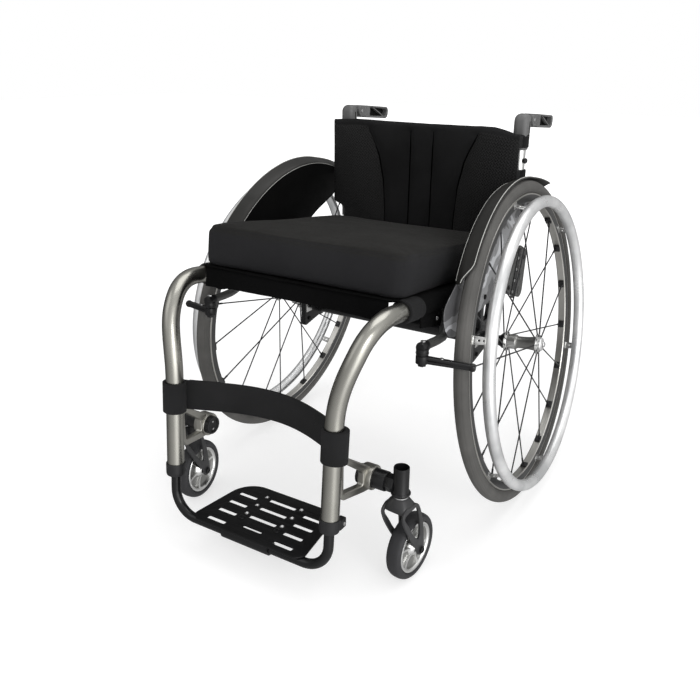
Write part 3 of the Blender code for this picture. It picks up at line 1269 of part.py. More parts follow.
def make_brake(name, side, pivot):
    """Clamp and arm under the rail, and a bar on an upright pin that presses the tyre."""
    pivot_x, pivot_y = side * BRAKE_PIVOT.x, BRAKE_PIVOT.y
    bottom = BRAKE_PLATE_BOTTOM_Z
    top = bottom + BRAKE_PLATE_THICKNESS
    axis = Vector((side * RAIL_X, BRAKE_SADDLE_Y, rail_z(BRAKE_SADDLE_Y)))
    half, length = SADDLE_WIDTH / 2, BRAKE_SADDLE_LENGTH / 2
    seat = Matrix.Translation(axis) @ Matrix.Rotation(-RAIL_SLOPE, 4, "X")
    saddle = block((-half, -length, -SADDLE_TOP - SADDLE_DEPTH), (half, length, -SADDLE_TOP), 0.002)
    piece = add_piece(f"brake_bracket_{name}", saddle, "black_metal", seat)
    elbow = Vector((side * (RAIL_X + 0.014), BRAKE_SADDLE_Y - 0.010, top - 0.001))
    hanger = elbow + Vector((-side * 0.006, 0.006, 0))
    hanger.z = axis.z - SADDLE_TOP - SADDLE_DEPTH + 0.003
    fuse(piece, rod(hanger, elbow, 0.0078, sides=10))
    eye = Vector((pivot_x, pivot_y, top - 0.001))
    fuse(piece, rod(elbow + (elbow - eye).normalized() * 0.004, eye, 0.0068, sides=10))
    fuse(piece, rod((pivot_x, pivot_y, bottom), (pivot_x, pivot_y, top + 0.005), BRAKE_EYE_RADIUS, sides=16))
    foot = (pivot_x - 0.03, pivot_y - 0.03, bottom - 0.02)
    cut(piece, block(foot, (pivot_x + 0.03, pivot_y + 0.045, bottom)))
    foot = bottom - BRAKE_EYE_HEIGHT - 2 * GAP
    pin, nut = BRAKE_PIN_RADIUS, 2 * BRAKE_PIN_RADIUS
    fuse(piece, rod((pivot_x, pivot_y, foot - 0.001), (pivot_x, pivot_y, bottom + 0.002), pin, sides=10))
    fuse(piece, rod((pivot_x, pivot_y, foot - 0.004), (pivot_x, pivot_y, foot), nut, sides=6))
    cut(piece, bore_tool(axis - RAIL_BACK * 0.06, axis + RAIL_BACK * 0.06, TUBE_RADIUS + GAP, sides=14))

    ceiling = bottom - GAP
    floor = ceiling - BRAKE_EYE_HEIGHT
    arm = add_piece(
        f"brake_arm_{name}",
        rod((pivot_x, pivot_y, floor), (pivot_x, pivot_y, ceiling), BRAKE_EYE_RADIUS, sides=16),
        "black_metal",
        pivot=pivot,
    )
    middle = Vector((pivot_x, pivot_y, (floor + ceiling) / 2))
    tip = mirrored(BRAKE_ROD_END, side)
    way = (tip - middle).normalized()
    fuse(arm, rod(middle, tip, BRAKE_ROD_RADIUS + 0.0012, BRAKE_ROD_RADIUS, sides=10))
    fuse(arm, rod(tip - way * 0.014, tip + way * 0.005, BRAKE_PAD_RADIUS, sides=10))
    bore = BRAKE_PIN_RADIUS + GAP
    cut(arm, bore_tool((pivot_x, pivot_y, floor - 0.01), (pivot_x, pivot_y, ceiling + 0.01), bore, sides=10))


# Assembly

clear_scene()
parts = new_collection("wheelchair")
cutters = new_collection("cutters")
make_materials()
chair = None
chair = make_pivot("chair", (0.0, -MIDDLE_Y, 0.0))

back_fold = make_pivot("backrest_fold", (0.0, POST_Y, FOLD_Z))
footrest_slide = make_pivot("footrest_slide", (0.0, leg_y(LEG_FOOT_Z), LEG_FOOT_Z))

make_camber_tube()
make_sling()
make_cushion()
make_back_bar(back_fold)
make_back_upholstery(back_fold)
make_hoop(footrest_slide)
make_footplate(footrest_slide)
make_calf_strap()

for side_name, side_sign in SIDES.items():
    wheel = make_pivot(f"rear_wheel_{side_name}", axle_point(side_sign, 0.0))
    caster = make_pivot(f"caster_{side_name}", caster_place(side_name, side_sign).translation)
    roll = caster_place(side_name, side_sign) @ Vector((0, CASTER_TRAIL, CASTER_RADIUS))
    caster_roll = make_pivot(f"caster_roll_{side_name}", roll)
    handle_place = (side_sign * RAIL_X, HANDLE_HINGE_Y, HANDLE_HINGE_Z)
    handle = make_pivot(f"handle_fold_{side_name}", handle_place)
    brake_place = (side_sign * BRAKE_PIVOT.x, BRAKE_PIVOT.y, BRAKE_PLATE_BOTTOM_Z)
    brake = make_pivot(f"brake_swing_{side_name}", brake_place)

    make_frame_tube(side_name, side_sign)
    make_axle_sleeve(side_name, side_sign)
    make_axle_hanger(side_name, side_sign)
    make_back_bracket(side_name, side_sign)
    make_back_post(side_name, side_sign, back_fold)
    make_handle_base(side_name, side_sign, back_fold)
    make_push_handle(side_name, side_sign, handle)
    make_side_guard(side_name, side_sign)
    make_rear_wheel(side_name, side_sign, wheel)
    make_release_axle(side_name, side_sign, wheel, wheel)
    make_caster_bracket(side_name, side_sign)
    make_caster_housing(side_name, side_sign)
    make_caster_fork(side_name, side_sign, caster)
    make_caster_wheel(side_name, side_sign, caster_roll)
    make_hoop_collar(side_name, side_sign)
    make_brake(side_name, side_sign, brake)
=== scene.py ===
"""Looks of the manual wheelchair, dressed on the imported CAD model.

Shapes are drawn in the chair's own frame, as in part.py: X across, with the sitter's left
at +X, Y = 0 on the rear axle, the chair facing -Y, and Z = 0 on the floor."""

from math import acos, atan, atan2, copysign, cos, exp, pi, radians, sin, sqrt, tan, tau

import bmesh
import bpy
import numpy as np
from mathutils import Matrix, Vector, noise


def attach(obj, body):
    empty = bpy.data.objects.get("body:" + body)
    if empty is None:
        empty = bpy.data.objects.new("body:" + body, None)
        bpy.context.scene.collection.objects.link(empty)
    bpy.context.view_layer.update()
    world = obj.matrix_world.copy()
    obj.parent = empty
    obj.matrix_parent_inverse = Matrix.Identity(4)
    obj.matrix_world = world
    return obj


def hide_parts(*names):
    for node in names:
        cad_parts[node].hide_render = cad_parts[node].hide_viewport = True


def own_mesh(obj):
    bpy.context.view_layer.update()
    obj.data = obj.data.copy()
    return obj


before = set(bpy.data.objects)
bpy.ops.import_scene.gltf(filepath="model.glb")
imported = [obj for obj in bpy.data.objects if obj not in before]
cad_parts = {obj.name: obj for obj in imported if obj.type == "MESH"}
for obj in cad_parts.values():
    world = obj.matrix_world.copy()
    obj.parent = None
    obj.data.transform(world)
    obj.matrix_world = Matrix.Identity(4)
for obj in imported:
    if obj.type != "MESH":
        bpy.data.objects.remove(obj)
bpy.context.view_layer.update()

shift, rotation = Matrix.Translation, Matrix.Rotation

# These bodies come in pairs.
SIDES = {"left": 1, "right": -1}
SIDED_BODIES = (
    "rear_wheel", "rear_axle", "rear_button", "caster_swivel", "caster_wheel", "handle_grip", "brake",
)
TO_MODEL = shift((0.0, 0.10625, 0.0))
UPRIGHT = Matrix(((1, 0, 0, 0), (0, 0, -1, 0), (0, 1, 0, 0), (0, 0, 0, 1)))
GAP = 0.0003

# Rear wheels
REAR_RADIUS = 0.3
REAR_TYRE_WIDTH = 0.0276
CAMBER = radians(6.0)
HALF_TRACK = 0.2665
HUB_Z = (REAR_RADIUS - REAR_TYRE_WIDTH / 2) * cos(CAMBER) + REAR_TYRE_WIDTH / 2
RIM_SEAT = 0.2772
RIM_FLOOR = 0.2605
RIM_HALF = 0.0088
TYRE_SECTION = 0.0125
SPOKES_PER_SIDE = 9
SPOKE_PHASE = radians(21.5)
INNER_SPOKE_LEAD = radians(35.0)
HANDRIM_RADIUS = 0.262
HANDRIM_TUBE = 0.0105
HANDRIM_OFFSET = 0.036
TAB_PHASE = radians(11.5)

# Frame tubes: from the foot up the leg, over the knee and back along the rail
TUBE_RADIUS = 0.0143
LEG_X = 0.154
LEG_FOOT_Y = -0.4945
LEG_FOOT_Z = 0.146
LEG_TOP_Z = 0.3
LEG_LEAN = 0.0775
LEG_UP = Vector((0.0, LEG_LEAN, 1.0)).normalized()
KNEE = Vector((0.1755, -0.455, 0.4095))
RAIL_X = 0.19
RAIL_FRONT = Vector((0.19, -0.375, 0.4465))
RAIL_FALL = 0.1235
RAIL_REAR_Y = 0.095
RAIL_BACK = Vector((0.0, 1.0, -RAIL_FALL)).normalized()
RAIL_SLOPE = atan(RAIL_FALL)

# Seat
SLING_THICKNESS = 0.0027
SLING_FRONT_Y = -0.372
SLING_REAR_Y = 0.01
SLEEVE_START_Y = -0.355
HEM_HALF = 0.1745
CUSHION_WIDTH = 0.384
CUSHION_LENGTH = 0.419
CUSHION_THICKNESS = 0.069
CUSHION_FRONT_Y = -0.365

# Back
POST_Y = 0.1165
POST_RADIUS = 0.011
BACK_HALF_WIDTH = 0.2005
BACK_BOTTOM_Z = 0.456
BACK_NOTCH_Z = 0.502
BACK_NOTCH_X = 0.177
BACK_TOP_Z = 0.681
BACK_EDGE_Y = 0.0755
BACK_THICKNESS = 0.0265
BACK_BOW = 0.008
BACK_FORWARD = 0.01
WRAP_SPANS = [(0.515, 0.531), (0.559, 0.601)]

# Fold hinge and push handles
FOLD_Z = 0.49
HANDLE_TOP_Z = 0.7035
HANDLE_SLEEVE = 0.0138
HANDLE_HALF = 0.0145
HANDLE_CORNER = 0.0112
GRIP_END_Y = 0.262
GRIP_SLOPE = atan(0.075)
HINGE_Y = 0.1455
HINGE_Z = 0.6905

# Side guards, in the wheel's plane
GUARD_OFFSET = 0.0225
GUARD_RADIUS = 0.2965
FENDER_START = radians(35.0)
FENDER_END = radians(117.5)

# Casters
CASTER_RADIUS = 0.0555
CASTER_STEM = Vector((0.2235, -0.401, 0.0))
CASTER_TRAIL = 0.035
CASTER_TURN = {"left": radians(-5.5), "right": radians(6.7)}
CASTER_SEAT = 0.0435
BARREL_Z = 0.183
BOSS_X = 0.168

# Footrest
HOOP_RADIUS = 0.008
HOOP_BOTTOM_Z = 0.062
HOOP_BEND = 0.044
HOOP_TOP_Z = 0.215
PLATE_THICKNESS = 0.003
PLATE_BOTTOM_Z = HOOP_BOTTOM_Z + HOOP_RADIUS + GAP

# Camber tube
CAMBER_HALF = 0.205
CAMBER_TUBE = 0.0143
CAMBER_Z = HUB_Z - (HALF_TRACK - CAMBER_HALF) * tan(CAMBER)
HUB_INNER = 0.0395

# Calf strap
STRAP_BOTTOM_Z = 0.246
STRAP_TOP_Z = 0.2975
STRAP_THICKNESS = 0.0032
STRAP_BOW = 0.05

# Camera and light
PHOTO_SIZE = 700
CAMERA_EYE = Vector((0.6596, -1.2853, 0.7929))
CAMERA_TURN = (-30.471, 20.432, 0.917)
FOCAL = 741.46
CENTRE = (356.02, 336.05)

FLOOR_GLOW = 0.62
KEY_POWER = 14.0
FILL_POWER = 9.0
TOP_POWER = 24.0
PANEL_WAY = Vector((0.88, -0.47, 0.0)).normalized()
PANEL_BRIGHT = 2.6
PANEL_TIGHTNESS = 26.0
ROOM_DARK = 0.05
ROOM_BRIGHT = 0.85
ROOM_TOP = 0.35


def leg_y(z):
    return LEG_FOOT_Y + LEG_LEAN * (z - LEG_FOOT_Z)


def rail_z(y):
    return RAIL_FRONT.z - RAIL_FALL * (y - RAIL_FRONT.y)


# Materials

LOOKS = {}


class Look:
    """A Principled material, kept in LOOKS, and short ways to add detail to it."""

    def __init__(self, name, colour, roughness, metallic=0.0, **sockets):
        self.made = bpy.data.materials.new(name)
        self.made.use_nodes = True
        self.made.diffuse_color = (*colour, 1.0)
        self.tree = self.made.node_tree
        self.shader = self.tree.nodes["Principled BSDF"]
        self.colour = colour
        self.roughness = roughness
        self.bumps = None
        LOOKS[name] = self.made
        self.fill(self.shader, {"Base Color": (*colour, 1.0), "Roughness": roughness, "Metallic": metallic})
        self.fill(self.shader, {key.replace("_", " "): value for key, value in sockets.items()})

    def fill(self, node, values):
        for key, value in values.items():
            socket = node.inputs[key]
            if isinstance(value, bpy.types.NodeSocket):
                self.tree.links.new(value, socket)
            else:
                socket.default_value = value

    def node(self, kind, values=None, out=0, **settings):
        made = self.tree.nodes.new("ShaderNode" + kind)
        for key, value in settings.items():
            setattr(made, key, value)
        self.fill(made, values or {})
        return made.outputs[out]

    def maths(self, operation, first, second=0.0):
        return self.node("Math", {0: first, 1: second}, operation=operation)

    def place(self, source="Object", scale=(1, 1, 1), turn=(0, 0, 0)):
        point = self.node("TexCoord", out=source)
        return self.node("Mapping", {"Vector": point, "Scale": scale, "Rotation": turn})

    def noise(self, scale, detail=3.0, source="Object", stretch=(1, 1, 1), distortion=0.0):
        values = {
            "Vector": self.place(source, stretch), "Scale": scale, "Detail": detail, "Distortion": distortion
        }
        return self.node("TexNoise", values)

    def ramp(self, factor, stops):
        made = self.tree.nodes.new("ShaderNodeValToRGB")
        self.tree.links.new(factor, made.inputs[0])
        elements = made.color_ramp.elements
        while len(elements) < len(stops):
            elements.new(0.5)
        for element, (place, colour) in zip(elements, stops):
            element.position = place
            element.color = (*colour, 1.0)
        return made.outputs[0]

    def span(self, factor, low, high, start=0.0, end=1.0):
        values = {"Value": factor, "From Min": start, "From Max": end, "To Min": low, "To Max": high}
        return self.node("MapRange", values)

    def mottle(self, scale, darker, lighter, stretch=(1, 1, 1), edges=(0.3, 0.7)):
        """Colour that drifts between two shares of the base colour."""
        dark = tuple(min(1.0, c * darker) for c in self.colour)
        light = tuple(min(1.0, c * lighter) for c in self.colour)
        tint = self.ramp(self.noise(scale, stretch=stretch), [(edges[0], dark), (edges[1], light)])
        self.fill(self.shader, {"Base Color": tint})
        return tint

    def rub(self, scale, low, high, stretch=(1, 1, 1)):
        """Roughness that drifts between two values."""
        self.fill(self.shader, {"Roughness": self.span(self.noise(scale, stretch=stretch), low, high, 0.3, 0.7)})

    def bump(self, height, distance, strength=1.0):
        values = {"Height": height, "Distance": distance, "Strength": strength}
        if self.bumps is not None:
            values["Normal"] = self.bumps
        self.bumps = self.node("Bump", values)
        self.fill(self.shader, {"Normal": self.bumps})

    def planar(self, pitch):
        """Two coordinates, in threads, on whichever plane the surface mostly faces."""
        point = self.node("SeparateXYZ", {0: self.node("TexCoord", out="Object")}, out=0).node
        normal = self.node("SeparateXYZ", {0: self.node("TexCoord", out="Normal")}, out=0).node
        side = self.maths("GREATER_THAN", self.maths("ABSOLUTE", normal.outputs[0]), 0.7)
        flat = self.maths("GREATER_THAN", self.maths("ABSOLUTE", normal.outputs[2]), 0.7)
        first = self.node("Mix", {0: side, 2: point.outputs[0], 3: point.outputs[1]})
        second = self.node("Mix", {0: flat, 2: point.outputs[2], 3: point.outputs[1]})
        return self.maths("DIVIDE", first, pitch), self.maths("DIVIDE", second, pitch)

    def weave(self, pitch, distance, turn=0.0):
        """Plain weave: warp and weft threads that pass over each other in turn."""
        first, second = self.planar(pitch)
        if turn:
            c, s = cos(turn), sin(turn)
            across = self.maths("ADD", self.maths("MULTIPLY", first, c), self.maths("MULTIPLY", second, s))
            second = self.maths("SUBTRACT", self.maths("MULTIPLY", second, c), self.maths("MULTIPLY", first, s))
            first = across
        cells = self.maths("ADD", self.maths("FLOOR", first), self.maths("FLOOR", second))
        over = self.maths("FLOORED_MODULO", cells, 2.0)
        threads = []
        for line in (first, second):
            threads.append(self.maths("ABSOLUTE", self.maths("SINE", self.maths("MULTIPLY", line, pi))))
        height = self.node("Mix", {0: over, 2: threads[0], 3: threads[1]})
        self.bump(height, distance)
        return height


def brushed(name, colour, roughness, **sockets):
    """Metal with a fine grain, faint clouding and patches of higher and lower roughness."""
    look = Look(name, colour, roughness, 1.0, **sockets)
    look.mottle(9.0, 0.9, 1.08)
    look.rub(26.0, roughness - 0.05, roughness + 0.08)
    look.bump(look.noise(900.0, 2.0), 0.00004)
    return look


def coated(name, colour, roughness, metallic=0.0, grain=700.0, depth=0.00008, **sockets):
    """Paint, anodising or moulded plastic with a fine orange-peel grain."""
    look = Look(name, colour, roughness, metallic, **sockets)
    look.mottle(14.0, 0.8, 1.25)
    look.rub(30.0, roughness - 0.07, roughness + 0.08)
    look.bump(look.noise(grain, 2.0), depth)
    return look


def make_looks():
    tube = brushed("champagne_tube", (0.375, 0.368, 0.335), 0.26)
    tube.bump(tube.noise(420.0, 3.0, stretch=(1, 1, 0.25)), 0.00005)
    brushed("silver_metal", (0.66, 0.66, 0.65), 0.26)
    brushed("silver_steel", (0.6, 0.6, 0.6), 0.22)
    brushed("rim_grey", (0.115, 0.115, 0.115), 0.36)
    brushed("rim_silver", (0.56, 0.55, 0.52), 0.34)
    coated("white_handrim", (0.8, 0.81, 0.815), 0.32, 0.8, 300.0, 0.00002)
    coated("black_metal", (0.0065, 0.0065, 0.007), 0.32, 0.0, 800.0, 0.00005, Specular_IOR_Level=0.32)
    coated("grey_coated", (0.075, 0.075, 0.073), 0.42, 0.4)
    coated("black_plastic", (0.012, 0.012, 0.013), 0.46, Specular_IOR_Level=0.35)
    coated("grey_plastic", (0.088, 0.088, 0.088), 0.42, 0.0, 900.0, 0.00012)
    coated("spoke_black", (0.028, 0.028, 0.03), 0.36, 0.6)
    # Near-black: painted shade inside slits, pockets and gaps between parts.
    coated("recess_shade", (0.004, 0.004, 0.004), 0.8, Specular_IOR_Level=0.15)
    # Near-black without gloss: painted shadow for the sewn creases of the back.
    coated("seam_black", (0.0003, 0.0003, 0.0003), 1.0, Specular_IOR_Level=0.0)

    brushed("cast_silver", (0.43, 0.42, 0.385), 0.34)
    brushed("cap_bright", (0.88, 0.88, 0.88), 0.42)
    brushed("silver_bright", (0.78, 0.78, 0.77), 0.24)
    brushed("rim_shade", (0.3, 0.3, 0.29), 0.38)
    coated("fork_black", (0.02, 0.02, 0.021), 0.36, 0.0, 500.0, 0.0001)
    coated("gloss_black", (0.0045, 0.0045, 0.005), 0.2, 0.0, 500.0, 0.00003, Specular_IOR_Level=0.34)
    coated("plate_black", (0.0052, 0.0052, 0.0055), 0.42, 0.0, 900.0, 0.0001, Specular_IOR_Level=0.2)
    coated("tyre_grey", (0.078, 0.076, 0.072), 0.66, 0.0, 500.0, 0.0002, Specular_IOR_Level=0.3)
    coated("tyre_black", (0.024, 0.024, 0.026), 0.55, 0.0, 420.0, 0.0002, Specular_IOR_Level=0.35)

    fabric = Look(
        "black_fabric", (0.0085, 0.0085, 0.0088), 0.88, Specular_IOR_Level=0.1, Sheen_Weight=0.015,
        Sheen_Roughness=0.5,
    )
    fabric.mottle(10.0, 0.75, 1.35)
    fabric.weave(0.0011, 0.00025)

    sling = Look(
        "sling_black", (0.0024, 0.0024, 0.0025), 0.9, Specular_IOR_Level=0.05, Sheen_Weight=0.006,
        Sheen_Roughness=0.5,
    )
    sling.mottle(10.0, 0.75, 1.35)
    sling.weave(0.0012, 0.00025)

    cushion = Look(
        "cushion_fabric", (0.0125, 0.0121, 0.013), 0.8, Specular_IOR_Level=0.14, Sheen_Weight=0.02,
        Sheen_Roughness=0.45,
    )
    # By the normal, top faces are darker and browner and side faces lighter and bluer: partly the panels' own
    # tones, partly painted shade that darkens the top against its stronger light.
    facing = cushion.node("SeparateXYZ", {0: cushion.node("TexCoord", out="Normal")}, out=2)
    panel = cushion.ramp(facing, [(0.25, (0.0138, 0.0137, 0.015)), (0.85, (0.0112, 0.0108, 0.0098))])
    drift = cushion.ramp(cushion.noise(6.0), [(0.3, (0.86, 0.86, 0.86)), (0.7, (1.18, 1.18, 1.18))])
    mixed = cushion.node("Mix", {0: 1.0, 6: panel, 7: drift}, out=2, data_type="RGBA", blend_type="MULTIPLY")
    cushion.fill(cushion.shader, {"Base Color": mixed})
    cushion.rub(18.0, 0.7, 0.86)
    cushion.weave(0.0008, 0.00014)
    cushion.bump(cushion.noise(38.0, 3.0), 0.0004)

    mesh = Look(
        "back_mesh", (0.0095, 0.0095, 0.0095), 0.82, Specular_IOR_Level=0.12, Sheen_Weight=0.02,
        Sheen_Roughness=0.4,
    )
    # Colour follows the weave's height: the mesh's own thread pattern, with painted shade that darkens the low
    # lines between threads.
    height = mesh.weave(0.0042, 0.0009, radians(40))
    mesh.fill(
        mesh.shader,
        {"Base Color": mesh.ramp(height, [(0.15, (0.002, 0.002, 0.002)), (0.75, (0.0165, 0.0165, 0.0165))])},
    )

    webbing = Look(
        "webbing", (0.0125, 0.0125, 0.013), 0.82, Specular_IOR_Level=0.12, Sheen_Weight=0.02, Sheen_Roughness=0.5,
    )
    webbing.mottle(12.0, 0.8, 1.3)
    webbing.weave(0.0014, 0.0003)

    coated("fender_grey", (0.017, 0.0165, 0.0152), 0.42, 0.0, 600.0, 0.00008, Specular_IOR_Level=0.22)
    coated("guard_black", (0.003, 0.003, 0.003), 0.55, Specular_IOR_Level=0.08)
    # Light grey for painted highlights along the guard's fold and the mudguard's edge.
    coated("trim_light", (0.42, 0.42, 0.4), 0.35)

    camo = Look("guard_camouflage", (0.35, 0.36, 0.37), 0.4, Coat_Weight=0.2)
    blotches = camo.noise(15.0, 1.5, distortion=0.7)
    pattern = camo.ramp(
        blotches,
        [
            (0.0, (0.075, 0.075, 0.078)), (0.4, (0.185, 0.187, 0.192)), (0.52, (0.4, 0.405, 0.42)),
            (0.585, (0.105, 0.105, 0.11)),
        ],
    )
    pattern.node.color_ramp.interpolation = "CONSTANT"
    camo.fill(camo.shader, {"Base Color": pattern})
    camo.bump(camo.noise(600.0), 0.00005)


# Shapes

def finish_mesh(bm):
    bmesh.ops.recalc_face_normals(bm, faces=bm.faces)
    mesh = bpy.data.meshes.new("shape")
    bm.to_mesh(mesh)
    bm.free()
    return mesh


def pairs(*millimetres):
    """Points in metres from a flat row of coordinates in millimetres."""
    return [(a / 1000, b / 1000) for a, b in zip(millimetres[::2], millimetres[1::2])]


def triples(*millimetres):
    return [tuple(n / 1000 for n in millimetres[i:i + 3]) for i in range(0, len(millimetres), 3)]


def add_piece(name, shape, looks, node=None, body="frame", side="", sharp=35.0, place=None):
    """Makes one visible piece. A side's name is put at the end of the piece's, node's and body's names."""
    mesh = finish_mesh(shape) if isinstance(shape, bmesh.types.BMesh) else shape
    if place is not None:
        mesh.transform(place)
        if place.determinant() < 0:
            mesh.flip_normals()
    mesh.transform(TO_MODEL)
    looks = looks if isinstance(looks, list) else [looks]
    for look in looks:
        mesh.materials.append(LOOKS[look])
    mesh.shade_smooth()
    if sharp:
        mesh.set_sharp_from_angle(angle=radians(sharp))
    end = f"_{side}" if side else ""
    obj = bpy.data.objects.new(name + end, mesh)
    bpy.context.scene.collection.objects.link(obj)
    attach(obj, body + end if body in SIDED_BODIES else body)
    if node:
        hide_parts(node + end)
    return obj


def ring_faces(bm, rings, closed_around=True, closed_along=False, material=0, ends=False):
    """Joins rings of points into a skin. Material may be one index or a list for each row."""
    count = len(rings)
    for i in range(count if closed_along else count - 1):
        one, two = rings[i], rings[(i + 1) % count]
        for j in range(len(one) if closed_around else len(one) - 1):
            k = (j + 1) % len(one)
            face = bm.faces.new((one[j], one[k], two[k], two[j]))
            face.material_index = material[j] if isinstance(material, list) else material
    if ends:
        bm.faces.new(rings[0])
        bm.faces.new(rings[-1])


def turned(bm, profile, steps, place=None, material=0):
    """Turns a closed outline of (radius, height) about local Z."""
    place = place or Matrix()
    rings = []
    for i in range(steps):
        c, s = cos(tau * i / steps), sin(tau * i / steps)
        rings.append([bm.verts.new(place @ Vector((r * c, r * s, z))) for r, z in profile])
    ring_faces(bm, rings, True, True, material)


def turned_mesh(profile, steps, place=None):
    bm = bmesh.new()
    turned(bm, profile, steps, place)
    bmesh.ops.remove_doubles(bm, verts=bm.verts, dist=1e-6)
    bmesh.ops.dissolve_degenerate(bm, dist=1e-7, edges=bm.edges)
    return finish_mesh(bm)


def fillet(corners, radius, count=4, closed=True):
    """An outline with each corner rounded. A corner may carry its own radius as a third number."""
    made = []
    total = len(corners)
    for i, corner in enumerate(corners):
        here = Vector(corner[:2])
        size = corner[2] if len(corner) > 2 else radius
        if (not closed and i in (0, total - 1)) or size <= 0:
            made.append(tuple(here))
            continue
        before = Vector(corners[i - 1][:2]) - here
        after = Vector(corners[(i + 1) % total][:2]) - here
        half = before.angle(after) / 2
        if half > radians(88):
            made.append(tuple(here))
            continue
        size = min(size, 0.48 * min(before.length, after.length) * tan(half))
        before.normalize()
        after.normalize()
        middle = here + (before + after).normalized() * size / sin(half)
        first = here + before * size / tan(half) - middle
        last = here + after * size / tan(half) - middle
        for step in range(count):
            made.append(tuple(middle + first.lerp(last, step / (count - 1)).normalized() * size))
    return made


def arc(centre, radius, start, end, count):
    turns = [start + (end - start) * i / (count - 1) for i in range(count)]
    return [(centre[0] + radius * cos(turn), centre[1] + radius * sin(turn)) for turn in turns]


def curve_through(points, count=8, closed=False):
    """A smooth line through the points (Catmull-Rom), with count steps between each pair."""
    points = [Vector(p) for p in points]
    total = len(points)
    made = []
    for i in range(total if closed else total - 1):
        a, b = points[i - 1] if closed or i else points[0], points[i]
        c = points[(i + 1) % total]
        d = points[(i + 2) % total] if closed or i + 2 < total else c
        for step in range(count):
            t = step / count
            square, cube = 2 * a - 5 * b + 4 * c - d, 3 * b - a - 3 * c + d
            made.append(0.5 * ((2 * b) + (c - a) * t + square * t * t + cube * t**3))
    if not closed:
        made.append(points[-1])
    return made


def bezier(start, start_pull, end_pull, end, count):
    made = []
    for i in range(count):
        t = i / count
        s = 1 - t
        made.append(s**3 * start + 3 * s * s * t * start_pull + 3 * s * t * t * end_pull + t**3 * end)
    return made


def sweep(bm, points, section, closed=False, up=(0, 0, 1), caps=True, material=0):
    """Carries a section of (side, up) pairs along the points, or a function that gives it at a share."""
    points = [Vector(p) for p in points]
    count = len(points)
    rings, normal = [], None
    for i, point in enumerate(points):
        ahead = points[(i + 1) % count] if closed or i + 1 < count else point
        behind = points[i - 1] if closed or i else point
        way = (ahead - behind).normalized()
        if normal is None:
            normal = Vector(up) - way * way.dot(Vector(up))
            if normal.length < 1e-4:
                normal = Vector((1, 0, 0)) - way * way.x
        else:
            normal = normal - way * way.dot(normal)
        normal = normal.normalized()
        side = way.cross(normal)
        outline = section(i / max(1, count - 1)) if callable(section) else section
        rings.append([bm.verts.new(point + side * a + normal * b) for a, b in outline])
    ring_faces(bm, rings, True, closed, material)
    if caps and not closed:
        for ring in (rings[0][::-1], rings[-1]):
            bm.faces.new(ring).material_index = material if isinstance(material, int) else material[0]
    return rings


def round_section(radius, sides=24):
    return [(radius * cos(tau * i / sides), radius * sin(tau * i / sides)) for i in range(sides)]


def rod(bm, start, end, radius, sides=24, chamfer=0.0, material=0, bore=0.0):
    """A round bar with chamfered ends, and a blind bore in its far end if one is given."""
    start, end = Vector(start), Vector(end)
    length = (end - start).length
    turn = (end - start).to_track_quat("Z", "Y").to_matrix().to_4x4()
    place = shift(start) @ turn
    chamfer = min(chamfer, radius * 0.6, length * 0.4)
    profile = [(radius - chamfer, 0.0), (radius - chamfer * 0.3, chamfer * 0.3), (radius, chamfer)]
    profile += [
        (radius, length - chamfer), (radius - chamfer * 0.3, length - chamfer * 0.3),
        (radius - chamfer, length),
    ]
    if bore:
        profile += [(bore, length), (bore, length - min(0.004, length * 0.4))]
    rings = [[bm.verts.new(place @ Vector((r * cos(a), r * sin(a), z))) for r, z in profile]
             for a in [tau * i / sides for i in range(sides)]]
    ring_faces(bm, rings, False, True, material)
    for row in (0, -1):
        bm.faces.new([ring[row] for ring in rings]).material_index = material
    return rings


def linked(verts, kind):
    """The faces or edges at some points, each once and in a fixed order."""
    return list(dict.fromkeys(item for vert in verts for item in getattr(vert, kind)))


def stand(bm, foot, low, high, radius, sides=24, chamfer=0.0):
    """An upright rod between two heights."""
    rod(bm, (foot[0], foot[1], low), (foot[0], foot[1], high), radius, sides, chamfer)


def stud(bm, centre, start, end, radius, sides=24, chamfer=0.0, material=0, bore=0.0):
    """A rod along X, from start to end past its centre."""
    x, y, z = centre
    rod(bm, (x + start, y, z), (x + end, y, z), radius, sides, chamfer, material, bore)


def block(bm, low, high, bevel=0.0, place=None, material=0, segments=2):
    low, high = Vector(low), Vector(high)
    made = bmesh.ops.create_cube(bm, size=1.0)["verts"]
    bmesh.ops.scale(bm, vec=high - low, verts=made)
    bmesh.ops.translate(bm, vec=(low + high) / 2, verts=made)
    faces = linked(made, "link_faces")
    if bevel:
        edges = linked(made, "link_edges")
        cut = bmesh.ops.bevel(bm, geom=edges, offset=bevel, segments=segments, affect="EDGES", profile=0.6)
        faces = linked([v for v in [*cut["verts"], *made] if v.is_valid], "link_faces")
        made = list(dict.fromkeys(vert for face in faces for vert in face.verts))
    for face in faces:
        face.material_index = material
    if place is not None:
        bmesh.ops.transform(bm, matrix=place, verts=made)


def solid_of(curve):
    """The welded mesh of a filled curve."""
    guide = bpy.data.objects.new("guide", curve)
    bpy.context.scene.collection.objects.link(guide)
    graph = bpy.context.evaluated_depsgraph_get()
    mesh = bpy.data.meshes.new_from_object(guide.evaluated_get(graph))
    bpy.data.objects.remove(guide)
    bm = bmesh.new()
    bm.from_mesh(mesh)
    bmesh.ops.remove_doubles(bm, verts=bm.verts, dist=1e-5)
    return finish_mesh(bm)


